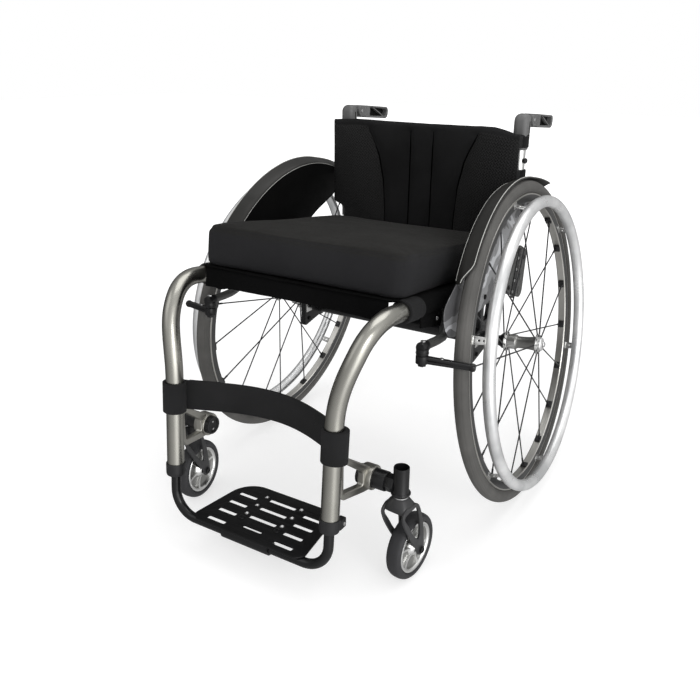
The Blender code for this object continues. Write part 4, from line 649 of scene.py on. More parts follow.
def plate(loops, thickness, bevel=0.0008, steps=2):
    """A flat solid in local XY from an outline and its holes, with rounded edges."""
    curve = bpy.data.curves.new("outline", "CURVE")
    curve.dimensions = "2D"
    curve.fill_mode = "BOTH"
    curve.extrude = thickness / 2 - bevel
    curve.bevel_depth = bevel
    curve.bevel_resolution = steps
    curve.offset = -bevel
    for loop in loops:
        spline = curve.splines.new("POLY")
        spline.points.add(len(loop) - 1)
        for point, place in zip(spline.points, loop):
            point.co = (place[0], place[1], 0.0, 1.0)
        spline.use_cyclic_u = True
    return solid_of(curve)


def join(bm, mesh, place=None, material=0):
    """Adds a mesh to the one being made."""
    before = len(bm.faces)
    if place is not None:
        mesh.transform(place)
        if place.determinant() < 0:
            mesh.flip_normals()
    bm.from_mesh(mesh)
    bm.faces.ensure_lookup_table()
    for face in bm.faces[before:]:
        face.material_index = material


def circle(centre, radius, count=24, start=0.1):
    return arc(centre, radius, start, start + tau * (count - 1) / count, count)


def upright(side=1, x=0.0):
    turn = Matrix(((0, 0, 1, 0), (1, 0, 0, 0), (0, 1, 0, 0), (0, 0, 0, 1)))
    return shift((side * x, 0, 0)) @ turn


def wheel_place(side, offset=0.0):
    turn = rotation(side * (pi / 2 - CAMBER), 4, "Y")
    return shift((side * HALF_TRACK, 0, HUB_Z)) @ turn @ shift((0, 0, offset))


def polar(radius, turn, height):
    return Vector((radius * cos(turn), radius * sin(turn), height))


make_looks()


# Rear wheels

def make_tyre(name, side):
    """Tyre with a crowned tread, two fine centre grooves and a shoulder line each side."""
    centre, section = REAR_RADIUS - TYRE_SECTION, TYRE_SECTION
    open_angle = pi - acos((centre - RIM_SEAT - GAP) / section)
    profile = []
    for i in range(57):
        turn = open_angle - 2 * open_angle * i / 56
        dip = sum(exp(-(((turn - groove) / 0.045) ** 2)) for groove in (-0.98, -0.34, 0.34, 0.98))
        radius = section - 0.0006 * dip
        profile.append((centre + radius * cos(turn), radius * sin(turn)))
    mesh = turned_mesh(profile, 160, wheel_place(side))
    add_piece("tyre", mesh, "tyre_grey", "rear_tyre", "rear_wheel", side=name, sharp=60)


def make_rim(name, side):
    """Box rim: grey walls with a bright machined edge, a silver floor and black nipple seats."""
    half, floor = RIM_HALF, RIM_FLOOR
    profile = [
        (RIM_SEAT, half - 0.001), (RIM_SEAT - 0.0008, half), (RIM_SEAT - 0.003, half),
        (RIM_SEAT - 0.0034, half - 0.0004), (floor + 0.0034, half - 0.0004), (floor + 0.001, half - 0.001),
        (floor, half - 0.0028),
    ]
    profile += [(r, -z) for r, z in reversed(profile)]
    walls = [1, 1, 0, 0, 0, 1, 1, 1, 0, 0, 0, 1, 1, 0]
    bm = bmesh.new()
    turned(bm, profile, 160, wheel_place(side), walls)
    add_piece("rim", bm, ["rim_grey", "rim_silver"], "rear_rim", "rear_wheel", side=name, sharp=25)
    bm = bmesh.new()
    place = wheel_place(side)
    for i in range(2 * SPOKES_PER_SIDE):
        turn = tau * i / (2 * SPOKES_PER_SIDE) + SPOKE_PHASE
        spot = place @ rotation(turn, 4, "Z")
        block(bm, (floor - 0.004, -0.0072, -0.0058), (floor + 0.001, 0.0072, 0.0058), 0.0012, spot)
    add_piece("nipple_seats", bm, "black_plastic", body="rear_wheel", side=name)


def make_hub(name, side):
    place = wheel_place(side)
    outline = [
        (0.0066, 0.033), (0.013, 0.033), (0.0142, 0.0324), (0.015, 0.0316), (0.0186, 0.0314), (0.019, 0.0309),
        (0.019, 0.0292), (0.0186, 0.0287), (0.015, 0.0284), (0.013, 0.0262), (0.0124, 0.018), (0.0118, 0.015),
        (0.0112, 0.003), (0.0112, -0.006), (0.012, -0.009), (0.0138, -0.011), (0.0138, -0.027),
        (0.015, -0.0284), (0.0186, -0.0287), (0.019, -0.0292), (0.019, -0.0309), (0.0186, -0.0314),
        (0.015, -0.0316), (0.0142, -0.0325), (0.0142, -0.038), (0.013, -0.0395), (0.0066, -0.0395),
    ]
    looks = [0] * 9 + [1] * 6 + [0] * 8 + [2] * 4
    bm = bmesh.new()
    turned(bm, outline, 48, place, looks)
    add_piece(
        "hub", bm, ["silver_metal", "rim_shade", "black_metal"], "rear_hub", "rear_wheel", side=name, sharp=28,
    )
    bm = bmesh.new()
    for end in (1, -1):
        for i in range(SPOKES_PER_SIDE):
            rim_turn = tau * (i + (0.5 if end < 0 else 0.0)) / SPOKES_PER_SIDE + SPOKE_PHASE
            lead = INNER_SPOKE_LEAD if end < 0 else 0.0
            inner = place @ polar(0.016, rim_turn + lead, end * 0.03)
            outer = place @ polar(RIM_FLOOR - 0.001, rim_turn, end * 0.0025)
            way = (outer - inner).normalized()
            rod(bm, inner, outer, 0.00135, 8)
            rod(bm, outer - way * 0.015, outer - way * 0.001, 0.0019, 8, 0.0005)
            rod(
                bm, inner - place.to_3x3() @ Vector((0, 0, 0.0026)),
                inner + place.to_3x3() @ Vector((0, 0, 0.0026)), 0.0021, 10, 0.0006,
            )
    add_piece("spokes", bm, "spoke_black", body="rear_wheel", side=name)


def make_handrim(name, side):
    place = wheel_place(side)
    ring = [(HANDRIM_RADIUS + x, HANDRIM_OFFSET + y) for x, y in circle((0, 0), HANDRIM_TUBE, 28)]
    add_piece(
        "handrim_ring", turned_mesh(ring, 160, place), "white_handrim", "handrim", "rear_wheel", side=name,
        sharp=60,
    )
    bm = bmesh.new()
    foot = Vector((RIM_SEAT - 0.0075, 0.0, RIM_HALF - 0.001))
    head = Vector((HANDRIM_RADIUS + 0.001, 0.0, HANDRIM_OFFSET))
    length = (head - foot).length
    outline = fillet(
        [(-length / 2, -0.0072), (length / 2, -0.0055), (length / 2, 0.0055), (-length / 2, 0.0072)], 0.0025,
    )
    holes = [circle((-0.004, 0.0), 0.0018, 12), circle((0.004, 0.0), 0.0018, 12)]
    for i in range(6):
        turn = rotation(tau * i / 6 + TAB_PHASE, 4, "Z")
        way = (head - foot).normalized()
        lie = Matrix((
            (way.x, 0, way.z, 0), (way.y, 1, 0, 0), (way.z, 0, -way.x, 0), (0, 0, 0, 1)
        ))
        middle = shift((foot + head) / 2)
        join(bm, plate([outline] + holes, 0.0022, 0.0006), place @ turn @ middle @ lie)
        foot_pad = place @ turn @ shift(foot)
        block(bm, (-0.0045, -0.0075, -0.0002), (0.0045, 0.0075, 0.0022), 0.0008, foot_pad)
    add_piece("handrim_tabs", bm, "silver_metal", body="rear_wheel", side=name)


def make_release(name, side):
    place = wheel_place(side)
    head = pairs(
        0, 32.6, 5.5, 32.6, 5.5, 39.8, 9.2, 39.6, 11.8, 38.6, 12.7, 37, 12.5, 34.5, 11.8, 33.3, 6.3, 33.3,
        6.3, -77, 5.2, -79.5, 0, -80,
    )
    add_piece(
        "release_pin", turned_mesh(head, 40, place), "cap_bright", "release_axle", "rear_axle", side=name,
        sharp=30,
    )
    crown = pairs(0, 44.1, 2.6, 43.9, 4.2, 43.3, 5, 42.2, 5.2, 40.5, 5.2, 36.8, 0, 36.8)
    add_piece(
        "release_knob", turned_mesh(crown, 28, place), "silver_steel", "release_button", "rear_button",
        side=name, sharp=40,
    )


# Frame

def leg_route(side):
    foot = Vector((LEG_X, LEG_FOOT_Y, LEG_FOOT_Z))
    top = Vector((LEG_X, leg_y(LEG_TOP_Z), LEG_TOP_Z))
    rear = Vector((RAIL_X, RAIL_REAR_Y, rail_z(RAIL_REAR_Y)))
    knee_way = Vector((0.2, 0.52, 0.83)).normalized()
    route = [foot]
    route += bezier(top, top + LEG_UP * 0.048, KNEE - knee_way * 0.034, KNEE, 16)
    route += bezier(KNEE, KNEE + knee_way * 0.03, RAIL_FRONT - RAIL_BACK * 0.04, RAIL_FRONT, 16)
    route += [RAIL_FRONT, rear]
    return [Vector((p.x * side, p.y, p.z)) for p in route]


def make_frame_tube(name, side):
    bm = bmesh.new()
    sweep(bm, leg_route(side), round_section(TUBE_RADIUS, 32), up=(1, 0, 0))
    add_piece("tube", bm, "champagne_tube", "frame_tube", side=name, sharp=50)
    bm = bmesh.new()
    end = Vector((side * RAIL_X, RAIL_REAR_Y, rail_z(RAIL_REAR_Y)))
    rod(bm, end - RAIL_BACK * 0.001, end + RAIL_BACK * 0.004, TUBE_RADIUS - 0.0003, 28, 0.002)
    add_piece("rail_plug", bm, "black_plastic", side=name)


# Seat and back

def seat_place(y):
    """Local frame on the seat rails: Y back along the rails, Z square to the seat."""
    return shift((0, y, rail_z(y))) @ rotation(-RAIL_SLOPE, 4, "X")


def inflate(obj, pressure, cap, pinned, frames=20, stiffness=12.0):
    """Blows the piece up a little as cloth, keeps each point within cap of where it was, and applies that."""
    rest = read(obj.data)
    group = obj.vertex_groups.new(name="seams")
    for index, weight in pinned:
        group.add([index], weight, "REPLACE")
    cloth = obj.modifiers.new("Cloth", "CLOTH")
    settings = cloth.settings
    settings.quality = 6
    settings.mass = 0.25
    settings.tension_stiffness = stiffness
    settings.compression_stiffness = stiffness
    settings.shear_stiffness = stiffness / 2
    settings.bending_stiffness = 0.4
    settings.use_pressure = True
    settings.uniform_pressure_force = pressure
    settings.effector_weights.gravity = 0.0
    settings.vertex_group_mass = "seams"
    cloth.collision_settings.use_collision = False
    cloth.point_cache.frame_start = 1
    cloth.point_cache.frame_end = frames
    scene = bpy.context.scene
    for step in range(1, frames + 1):
        scene.frame_set(step)
    shaped = obj.evaluated_get(bpy.context.evaluated_depsgraph_get()).to_mesh()
    moved = read(shaped)
    obj.modifiers.remove(cloth)
    obj.vertex_groups.remove(group)
    scene.frame_set(1)
    push = moved - rest
    length = np.linalg.norm(push, axis=1)
    share = np.minimum(1.0, cap / np.maximum(length, 1e-9))
    write(obj.data, rest + push * share[:, None])
    obj.data.update()


def subdivide(obj):
    change = obj.modifiers.new("Round", "SUBSURF")
    change.levels = change.render_levels = 1


def read(mesh, kind="co"):
    return np.array([getattr(v, kind) for v in mesh.vertices])


def write(mesh, points):
    mesh.vertices.foreach_set("co", points.astype(np.float32).ravel())


def cushion_outline(inset, count=14):
    """The cushion's outline seen from above: rounded corners and sides that draw in a little."""
    half, length = CUSHION_WIDTH / 2 - inset, CUSHION_LENGTH - 2 * inset
    corners = [(-half, inset), (half, inset), (half, inset + length), (-half, inset + length)]
    points = fillet(corners, 0.026 - inset * 0.5, count)
    made = []
    for i, point in enumerate(points):
        ahead = points[(i + 1) % len(points)]
        steps = max(1, round((Vector(ahead) - Vector(point)).length / 0.006))
        for step in range(steps):
            made.append(Vector(point).lerp(Vector(ahead), step / steps))
    waisted = []
    for x, y in made:
        u, v = x / (CUSHION_WIDTH / 2), 2 * y / CUSHION_LENGTH - 1
        waisted.append((x * (1 - 0.03 * (1 - v * v)), (v * (1 - 0.026 * (1 - u * u)) + 1) * CUSHION_LENGTH / 2))
    return waisted


def make_cushion():
    """Boxed cushion: remeshed, blown up between its seams, with a sewn line round its top edge."""
    height = CUSHION_THICKNESS
    levels = pairs(0, 10, 1.2, 4.5, 4.5, 1.2, 10, 0)
    levels += [(height * share, 0.0) for share in (0.3, 0.45, 0.6, 0.75)]
    levels += [(height - 0.012, 0.0), (height - 0.006, 0.0012), (height - 0.0022, 0.0046), (height, 0.011)]
    plan = cushion_outline(0.0)
    bm = bmesh.new()
    rings = []
    middle = Vector((0.0, CUSHION_LENGTH / 2))
    for z, inset in levels:
        ring = []
        for point in plan:
            point = Vector(point)
            ring.append(bm.verts.new((*(point + (middle - point).normalized() * inset), z)))
        rings.append(ring)
    for share, rise in ((0.8, 0.0025), (0.5, 0.0058), (0.2, 0.0072)):
        rings.append([bm.verts.new((*(middle + (Vector(p) - middle) * share), height + rise)) for p in plan])
    ring_faces(bm, rings)
    bm.faces.new(rings[-1])
    bm.faces.new(rings[0])
    obj = add_piece("cushion", bm, "cushion_fabric", "seat_cushion", sharp=0)
    remesh = obj.modifiers.new("Remesh", "REMESH")
    remesh.mode = "VOXEL"
    remesh.voxel_size = 0.0055
    graph = bpy.context.evaluated_depsgraph_get()
    mesh = bpy.data.meshes.new_from_object(obj.evaluated_get(graph))
    obj.modifiers.remove(remesh)
    obj.data = mesh
    mesh.materials.clear()
    mesh.materials.append(LOOKS["cushion_fabric"])
    seam = height - 0.006
    pinned = []
    for vert in mesh.vertices:
        x, y, z = vert.co.x, vert.co.y - TO_MODEL.translation.y, vert.co.z
        edge = max(abs(x) / (CUSHION_WIDTH / 2), abs(2 * y / CUSHION_LENGTH - 1))
        weight = 0.0
        if z < 0.004:
            weight = 1.0
        elif abs(z - seam) < 0.0035 and edge > 0.9:
            weight = 0.9
        pinned.append((vert.index, weight))
    inflate(obj, 3.2, 0.012, pinned)
    wrinkle, normals = read(mesh), read(mesh, "normal")
    for i, (x, y, z) in enumerate(wrinkle):
        y -= TO_MODEL.translation.y
        edge = max(abs(x) / (CUSHION_WIDTH / 2), abs(2 * y / CUSHION_LENGTH - 1))
        crease = -0.003 * exp(-(((z - seam) / 0.0032) ** 2)) if edge > 0.88 else 0.0
        soft = 0.0013 * noise.noise(Vector((x * 11, y * 9, z * 16)))
        pucker = 0.0007 * noise.noise(Vector((x * 60, y * 60, z * 12))) * exp(-(((z - seam) / 0.014) ** 2))
        lowest = max(0.0, min(1.0, z / 0.006))
        wrinkle[i] += normals[i] * (crease + (soft + pucker) * lowest)
        wrinkle[i][2] = max(wrinkle[i][2], 0.0)
    write(mesh, wrinkle)
    rise = TUBE_RADIUS + GAP + SLING_THICKNESS + 2 * GAP
    mesh.transform(TO_MODEL @ seat_place(CUSHION_FRONT_Y) @ shift((0, 0, rise)) @ TO_MODEL.inverted())
    mesh.shade_smooth()
    subdivide(obj)
    base = TO_MODEL @ seat_place(CUSHION_FRONT_Y)
    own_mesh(obj)
    return obj


def make_sling():
    """Seat fabric: over the rails, a shallow sag between them, and a front edge that hangs."""
    inner, outer = TUBE_RADIUS + GAP, TUBE_RADIUS + GAP + SLING_THICKNESS

    def section(radius, sag):
        over = arc((RAIL_X, 0), radius, radians(-30), pi / 2, 12)
        middle = []
        for i in range(1, 24):
            x = RAIL_X * (1 - 2 * i / 24)
            middle.append((x, radius - sag * (1 - (x / RAIL_X) ** 2)))
        return over + middle + [(-x, z) for x, z in reversed(over)]

    length = (SLING_REAR_Y - SLING_FRONT_Y) / cos(RAIL_SLOPE)
    bm = bmesh.new()
    rings = []
    steps = 44
    notch = (SLEEVE_START_Y - SLING_FRONT_Y) / cos(RAIL_SLOPE) + 0.004
    for i in range(steps + 1):
        y = length * i / steps
        sag = 0.0028 * sin(pi * min(1.0, 0.12 + y / length))
        top, low = section(outer, sag), section(inner, sag)
        back = notch * max(0.0, 1 - y / 0.12)
        cut = [back * min(1.0, max(0.0, (abs(x) - HEM_HALF) / 0.004)) ** 0.7 for x, z in top]
        rings.append([bm.verts.new((x, y + c, z)) for (x, z), c in zip(top + low[::-1], cut + cut[::-1])])
    ring_faces(bm, rings, ends=True)
    obj = add_piece("sling", bm, "sling_black", "seat_sling", sharp=40, place=seat_place(SLING_FRONT_Y))

    bm = bmesh.new()
    half = HEM_HALF
    rings = []
    for i in range(61):
        x = -half + 2 * half * i / 60
        drop = 0.0325 - 0.004 * (1 - (x / half) ** 2) + 0.001 * noise.noise(Vector((x * 30, 0, 1)))
        wave = 0.0012 * noise.noise(Vector((x * 22, 3, 0)))
        ring = []
        for share, depth in (
            (0.0, 0.0004), (0.15, 0.0), (0.5, 0.0 - wave), (0.9, -wave * 2), (1.0, -wave * 2 - 0.0003),
        ):
            ring.append((x, 0.0006 + depth, outer - 0.0015 - drop * share))
        for share, depth in ((1.0, 0.0024), (0.9, 0.0027), (0.5, 0.0026), (0.15, 0.0026), (0.0, 0.0022)):
            ring.append((x, 0.0006 + depth - wave * 2 * share, outer - 0.0015 - drop * share))
        rings.append([bm.verts.new(p) for p in ring])
    ring_faces(bm, rings, ends=True)
    hem = add_piece("sling_front", bm, "sling_black", place=seat_place(SLING_FRONT_Y))


def make_rail_sleeve(name, side):
    """Ribbed end of the fabric sleeve, the sling's edge that hangs beside the rail, and the bolt in it."""
    bm = bmesh.new()
    start = Vector((side * RAIL_X, SLEEVE_START_Y, rail_z(SLEEVE_START_Y)))
    radius = TUBE_RADIUS + GAP + SLING_THICKNESS
    profile = [
        (TUBE_RADIUS + 0.0002, -0.0012), (radius - 0.0004, -0.0014), (radius + 0.0009, -0.0004),
        (radius + 0.0011, 0.001),
    ]
    y = 0.0026
    while y < 0.044:
        profile += [
            (radius + 0.001, y), (radius + 0.00125, y + 0.0009), (radius + 0.001, y + 0.0018),
            (radius + 0.0007, y + 0.0026),
        ]
        y += 0.0036
    profile += [(radius + 0.0008, 0.0462), (radius + 0.0001, 0.0475), (TUBE_RADIUS + 0.0002, 0.0475)]
    turn = RAIL_BACK.to_track_quat("Z", "Y").to_matrix().to_4x4()
    turned(bm, profile, 64, shift(start) @ turn)
    add_piece("rail_sleeve", bm, "webbing", side=name, sharp=60)
    bm = bmesh.new()
    front, rear = SLEEVE_START_Y + 0.036, -0.2415
    rings = []
    for i in range(41):
        y = front + (rear - front) * i / 40
        low = 0.029 + 0.0085 * i / 40 + 0.0004 * sin(i * 0.9)
        ring = []
        for reach, depth in (
            (-0.002, 0.008), (0.0006, 0.019), (0.0, low - 0.0012), (0.0008, low), (0.0022, low - 0.0002),
            (0.0026, low - 0.0014),
        ):
            ring.append((side * (RAIL_X + 0.0128 + reach), y, rail_z(y) - depth))
        ring += [(side * (RAIL_X + 0.0152), y, rail_z(y) - 0.019), (side * (RAIL_X + 0.0135), y, rail_z(y) - 0.008)]
        rings.append([bm.verts.new(p) for p in ring])
    ring_faces(bm, rings, ends=True)
    skirt = add_piece("sling_skirt", bm, "sling_black", side=name, sharp=60)
    bm = bmesh.new()
    centre = Vector((side * (RAIL_X + 0.0146), -0.262, rail_z(-0.262) - 0.0215))
    stud(bm, centre, 0.0, side * 0.0022, 0.0034, 24, 0.0008)
    add_piece("rail_bolt", bm, "silver_steel", side=name)


OUTER_SEAM = pairs(121.5, 681, 118, 662, 104.5, 635, 93.5, 610, 82.5, 560, 78, 510, 76.5, 456)


def outer_seam(z):
    """Half the distance between the two outer seams of the back at a height."""
    across, heights = zip(*OUTER_SEAM[::-1])
    return float(np.interp(z, heights, across))


def make_back():
    """Quilted back: two cloth faces on one grid, sewn along its channels and blown up between them."""
    low, high = BACK_BOTTOM_Z, BACK_TOP_Z
    cells = [20, 16, 13, 16, 20]
    rows = 58
    bm = bmesh.new()
    front, rear, seams, side_panel, creases = [], [], set(), set(), {}
    for j in range(rows + 1):
        z = low + (high - low) * j / rows
        lift = min(1.0, max(0.0, (z - BACK_NOTCH_Z + 0.004) / 0.008))
        half = BACK_NOTCH_X + (BACK_HALF_WIDTH - BACK_NOTCH_X) * lift
        out = outer_seam(z)
        stops = [-half - 0.003 * lift, -out, -0.0235, 0.025, out, half]
        xs, marks = [], set()
        for k, count in enumerate(cells):
            for i in range(count):
                xs.append(stops[k] + (stops[k + 1] - stops[k]) * i / count)
            marks.add(len(xs))
        xs.append(half)
        ahead, behind = [], []
        from_end = min(z - low, high - z)
        for i, x in enumerate(xs):
            share = abs(x) / half
            bow = BACK_BOW * (1 - share * share)
            end = max(0.0, 1 - (half - abs(x)) / 0.016)
            ends = max(0.0, 1 - from_end / 0.012)
            fall = sqrt(max(0.03, 1 - max(end, ends) ** 2))
            thickness = (BACK_THICKNESS - 0.006) * fall
            middle = BACK_EDGE_Y - BACK_FORWARD + bow + BACK_THICKNESS / 2
            corner = min(1.0, max(0.0, (abs(x) - 0.146) / (half - 0.146))) ** 1.3 * (0.014 if x > 0 else 0.0045)
            dip = (0.003 * (1 - share * share) + corner) * max(0.0, 1 - (high - z) / 0.05)
            sewn = i in marks and i not in (0, len(xs) - 1) and z < 0.6655
            yoke = exp(-(((z - 0.6675) / 0.0022) ** 2)) * min(1.0, max(0.0, (0.19 - abs(x)) / 0.02))
            pull = 0.0042 if sewn else 0.0022 * yoke
            ahead.append(bm.verts.new((x, middle - thickness / 2 + pull, z - dip)))
            behind.append(bm.verts.new((x, middle + thickness / 2, z - dip)))
            if sewn:
                seams.add(ahead[-1])
                creases.setdefault(i, []).append((x, middle - thickness / 2 + pull, z - dip))
            elif yoke > 0.5:
                seams.add(ahead[-1])
            if x < -out + 0.0005 or x > out - 0.0005:
                side_panel.add(ahead[-1])
        front.append(ahead)
        rear.append(behind)
    for j in range(rows):
        for i in range(len(front[0]) - 1):
            made = bm.faces.new((front[j][i], front[j][i + 1], front[j + 1][i + 1], front[j + 1][i]))
            if all(vert in side_panel for vert in made.verts) and j < rows - 3:
                made.material_index = 1
            bm.faces.new((rear[j][i + 1], rear[j][i], rear[j + 1][i], rear[j + 1][i + 1]))
        for i in (0, -1):
            bm.faces.new((front[j][i], front[j + 1][i], rear[j + 1][i], rear[j][i]))
    for j in (0, -1):
        for i in range(len(front[0]) - 1):
            bm.faces.new((front[j][i], front[j][i + 1], rear[j][i + 1], rear[j][i]))
    bm.verts.index_update()
    pins = {vert.index: 1.0 for vert in seams}
    pins.update((vert.index, 0.8) for row in rear for vert in row)
    rim = [*front[0], *front[-1], *(row[end] for row in front for end in (0, -1))]
    pins.update((vert.index, 0.9) for vert in rim)
    obj = add_piece("back_pad", bm, ["black_fabric", "back_mesh"], "back_upholstery", "backrest", sharp=0)
    inflate(obj, 7.0, 0.0068, sorted(pins.items()), 18, 8.0)
    points, normals = read(obj.data), read(obj.data, "normal")
    for point, normal in zip(points, normals):
        point += normal * 0.0006 * noise.noise(Vector((point[0] * 45, 0, point[2] * 16)))
    write(obj.data, points)
    subdivide(obj)
    # Painted shadow: near-black strips laid along the sewn creases of the back.
    bm = bmesh.new()
    for line in creases.values():
        line = [Vector((x, y - 0.001, z)) for x, y, z in line]
        sweep(bm, line, pairs(-1.3, -1, 1.3, -1, 1.3, 0.6, -1.3, 0.6), up=(0, -1, 0))
    add_piece("back_seam_shadows", bm, "seam_black", body="backrest")
    for side_name, side in SIDES.items():
        make_wraps(side_name, side)


def make_wraps(name, side):
    """Straps of the back that close round the post."""
    bm = bmesh.new()
    for low, high in WRAP_SPANS + [(0.642, 0.6665)]:
        inner, outer = POST_RADIUS + GAP, POST_RADIUS + 0.0034
        if low > 0.62:
            inner, outer = HANDLE_SLEEVE + 0.0002, HANDLE_SLEEVE + 0.0016
        profile = [
            (inner, low), (outer - 0.0008, low), (outer, low + 0.0008), (outer, high - 0.0008),
            (outer - 0.0008, high), (inner, high),
        ]
        turned(bm, profile, 40, shift((side * RAIL_X, POST_Y, 0)))
        bridge = [
            (side * RAIL_X - 0.0085, BACK_EDGE_Y + 0.008, low + 0.001),
            (side * RAIL_X + 0.0085, POST_Y - inner + 0.0006, high - 0.001),
        ]
        block(bm, *bridge, 0.0012)
    add_piece("post_wrap", bm, "webbing", body="backrest", side=name)


def make_strap():
    """Calf band of soft webbing: round each leg, bowed back between them, with a lapped end."""
    middle = (STRAP_BOTTOM_Z + STRAP_TOP_Z) / 2
    height = (STRAP_TOP_Z - STRAP_BOTTOM_Z) / LEG_UP.z
    place = shift((0, leg_y(middle), middle)) @ rotation(-atan(LEG_LEAN), 4, "X")
    inner = TUBE_RADIUS + GAP
    outer = inner + STRAP_THICKNESS
    line = inner + STRAP_THICKNESS / 2
    span = LEG_X - 0.002

    def bow(x):
        return line + STRAP_BOW * (1 - (x / span) ** 2) ** 1.3

    route = []
    for i in range(81):
        x = -span + 2 * span * i / 80
        route.append(Vector((x, bow(x), 0)))
    edge, half = 0.0012, height / 2
    t = STRAP_THICKNESS / 2
    outline = fillet([(-t, -half), (t, -half), (t, half), (-t, half)], edge, 4)
    bm = bmesh.new()
    sweep(bm, route, [(a * 0.94, b * 0.992) for a, b in outline], up=(0, 0, 1))
    for end in (-1, 1):
        rings = []
        for i in range(56):
            turn = tau * i / 56
            lean = cos(turn - (0.2 if end > 0 else pi))
            swell = (0.0042 if end > 0 else 0.0014) * max(0.0, lean) ** 1.5 + 0.0008
            profile = fillet(
                [(inner, -half), (outer + swell, -half), (outer + swell, half), (inner, half)], edge, 4,
            )
            c, k = cos(turn), sin(turn)
            rings.append([bm.verts.new((end * LEG_X + r * c, r * k, z)) for r, z in profile])
        ring_faces(bm, rings, True, True)
    strap = add_piece("calf_band", bm, "webbing", "calf_strap", sharp=50, place=place)
    lap = []
    for i in range(25):
        x = -LEG_X + 0.012 + 0.046 * i / 24
        lap.append(Vector((x, bow(x) + STRAP_THICKNESS * 0.95, 0)))
    bm = bmesh.new()
    sweep(bm, lap, [(a * 0.7, b * 0.985) for a, b in outline], up=(0, 0, 1))
    add_piece("calf_band_lap", bm, "webbing", place=place)


# Side guards

def make_guard(name, side):
    """Crescent guard, camouflaged outside and black inside, under a rolled mudguard, with thin light lines along
    its fold and its edge that are painted highlights.
    """
    lobe = curve_through(pairs(
        258.5, 164, 271, 155, 288, 144, 294.5, 130, 291.5, 111, 280, 96, 263, 89.5, 244, 89, 160, 101, 106, 108,
    ), 4)[4:-1]
    rear = triples(
        106, 108, 10, 72, 111, 15, 35, 139, 20, 8, 162, 20, -18, 180, 20, -45, 195, 20, -75, 208, 20,
        -104, 221, 20, -121, 248, 10,
    )
    outline = arc(
        (0, 0), GUARD_RADIUS, FENDER_END - 0.03, FENDER_START, 40,
    ) + [tuple(p)[:2] for p in lobe] + fillet(rear, 0.01, 4, False)
    shape = plate([[(-forward, up) for forward, up in outline]], 0.003, 0.001, 2)
    lift = Matrix(((0, -side, 0, 0), (1, 0, 0, 0), (0, 0, side, 0), (0, 0, 0, 1)))
    bm = bmesh.new()
    join(bm, shape, lift)
    for face in bm.faces:
        face.material_index = 0 if face.calc_center_median().z > 0.0005 else 1
    wrap = RAIL_X + TUBE_RADIUS + 2 * GAP + SLING_THICKNESS
    to_local = wheel_place(side, -GUARD_OFFSET).inverted()
    for y in (-0.205, -0.128):
        z = rail_z(y)
        up = (z - HUB_Z) / cos(CAMBER)
        reach = HALF_TRACK - up * sin(CAMBER) - GUARD_OFFSET
        rod(
            bm, to_local @ Vector((side * wrap, y, z)), to_local @ Vector((side * reach, y, z)), 0.007, 24, 0.001,
            1,
        )
        rod(
            bm, to_local @ Vector((side * (reach + 0.001), y, z)),
            to_local @ Vector((side * (reach + 0.0035), y, z)), 0.0045, 20, 0.0012, 1,
        )
    place = wheel_place(side, -GUARD_OFFSET)
    add_piece(
        "guard", bm, ["guard_camouflage", "guard_black"], "side_guard", side=name, sharp=30, place=place,
    )

    start, thick = -GUARD_OFFSET, 0.001
    first = -pi / 2 - FENDER_END if side > 0 else FENDER_START - pi / 2
    span = FENDER_END - FENDER_START
    bm = bmesh.new()
    rings, edge_highlight = [], []
    for i in range(73):
        turn = first + span * i / 72
        along = 1 - i / 72 if side > 0 else i / 72
        spread = min(1.0, along / 0.08)
        flap = max(0.0, (along - 0.8) / 0.2) ** 1.4
        reach = -0.012 + 0.017 * spread * spread * (3 - 2 * spread) + 0.003 * flap
        crest = 0.3025 + 0.002 * spread + 0.0095 * flap
        centre = [(GUARD_RADIUS - 0.012, start), (GUARD_RADIUS - 0.004, start)]
        centre += [(GUARD_RADIUS - 0.0005, start + 0.0012), (GUARD_RADIUS + 0.0015, start + 0.004)]
        centre += [
            (
                GUARD_RADIUS + 0.003 + (crest - GUARD_RADIUS - 0.003) * share,
                start + 0.007 + (reach - start - 0.007) * share,
            )
            for share in (0.0, 0.25, 0.5, 0.75, 0.94, 1.0)
        ]
        centre.append((centre[-1][0] - 0.0016, centre[-1][1] + 0.001))
        over, under = [], []
        for j, point in enumerate(centre):
            way = Vector(centre[min(j + 1, len(centre) - 1)]) - Vector(centre[max(j - 1, 0)])
            out = Vector((way.y, -way.x)).normalized() * thick
            over.append(Vector(point) + out)
            under.append(Vector(point) - out)
        rings.append([bm.verts.new(polar(r, turn, a)) for r, a in over + under[::-1]])
        edge_highlight.append(polar(crest + 0.0012, turn, reach - 0.0006))
    ring_faces(bm, rings, ends=True)
    add_piece("mudguard", bm, "fender_grey", side=name, place=wheel_place(side))
    # Painted highlights: thin light rods along the guard's fold and along the mudguard's edge.
    bm = bmesh.new()
    fold_highlight = [
        polar(GUARD_RADIUS + 0.0005, first + 0.02 + (span - 0.04) * i / 60, start - 0.0012)
        for i in range(61)
    ]
    sweep(bm, fold_highlight, round_section(0.0004, 8), up=(0, 0, 1))
    sweep(bm, edge_highlight, round_section(0.0007, 8), up=(0, 0, 1))
    add_piece("mudguard_highlights", bm, "trim_light", side=name, place=wheel_place(side))


# Casters

def caster_place(name, side):
    stem = shift((side * CASTER_STEM.x, CASTER_STEM.y, 0))
    return stem @ rotation(CASTER_TURN[name], 4, "Z")


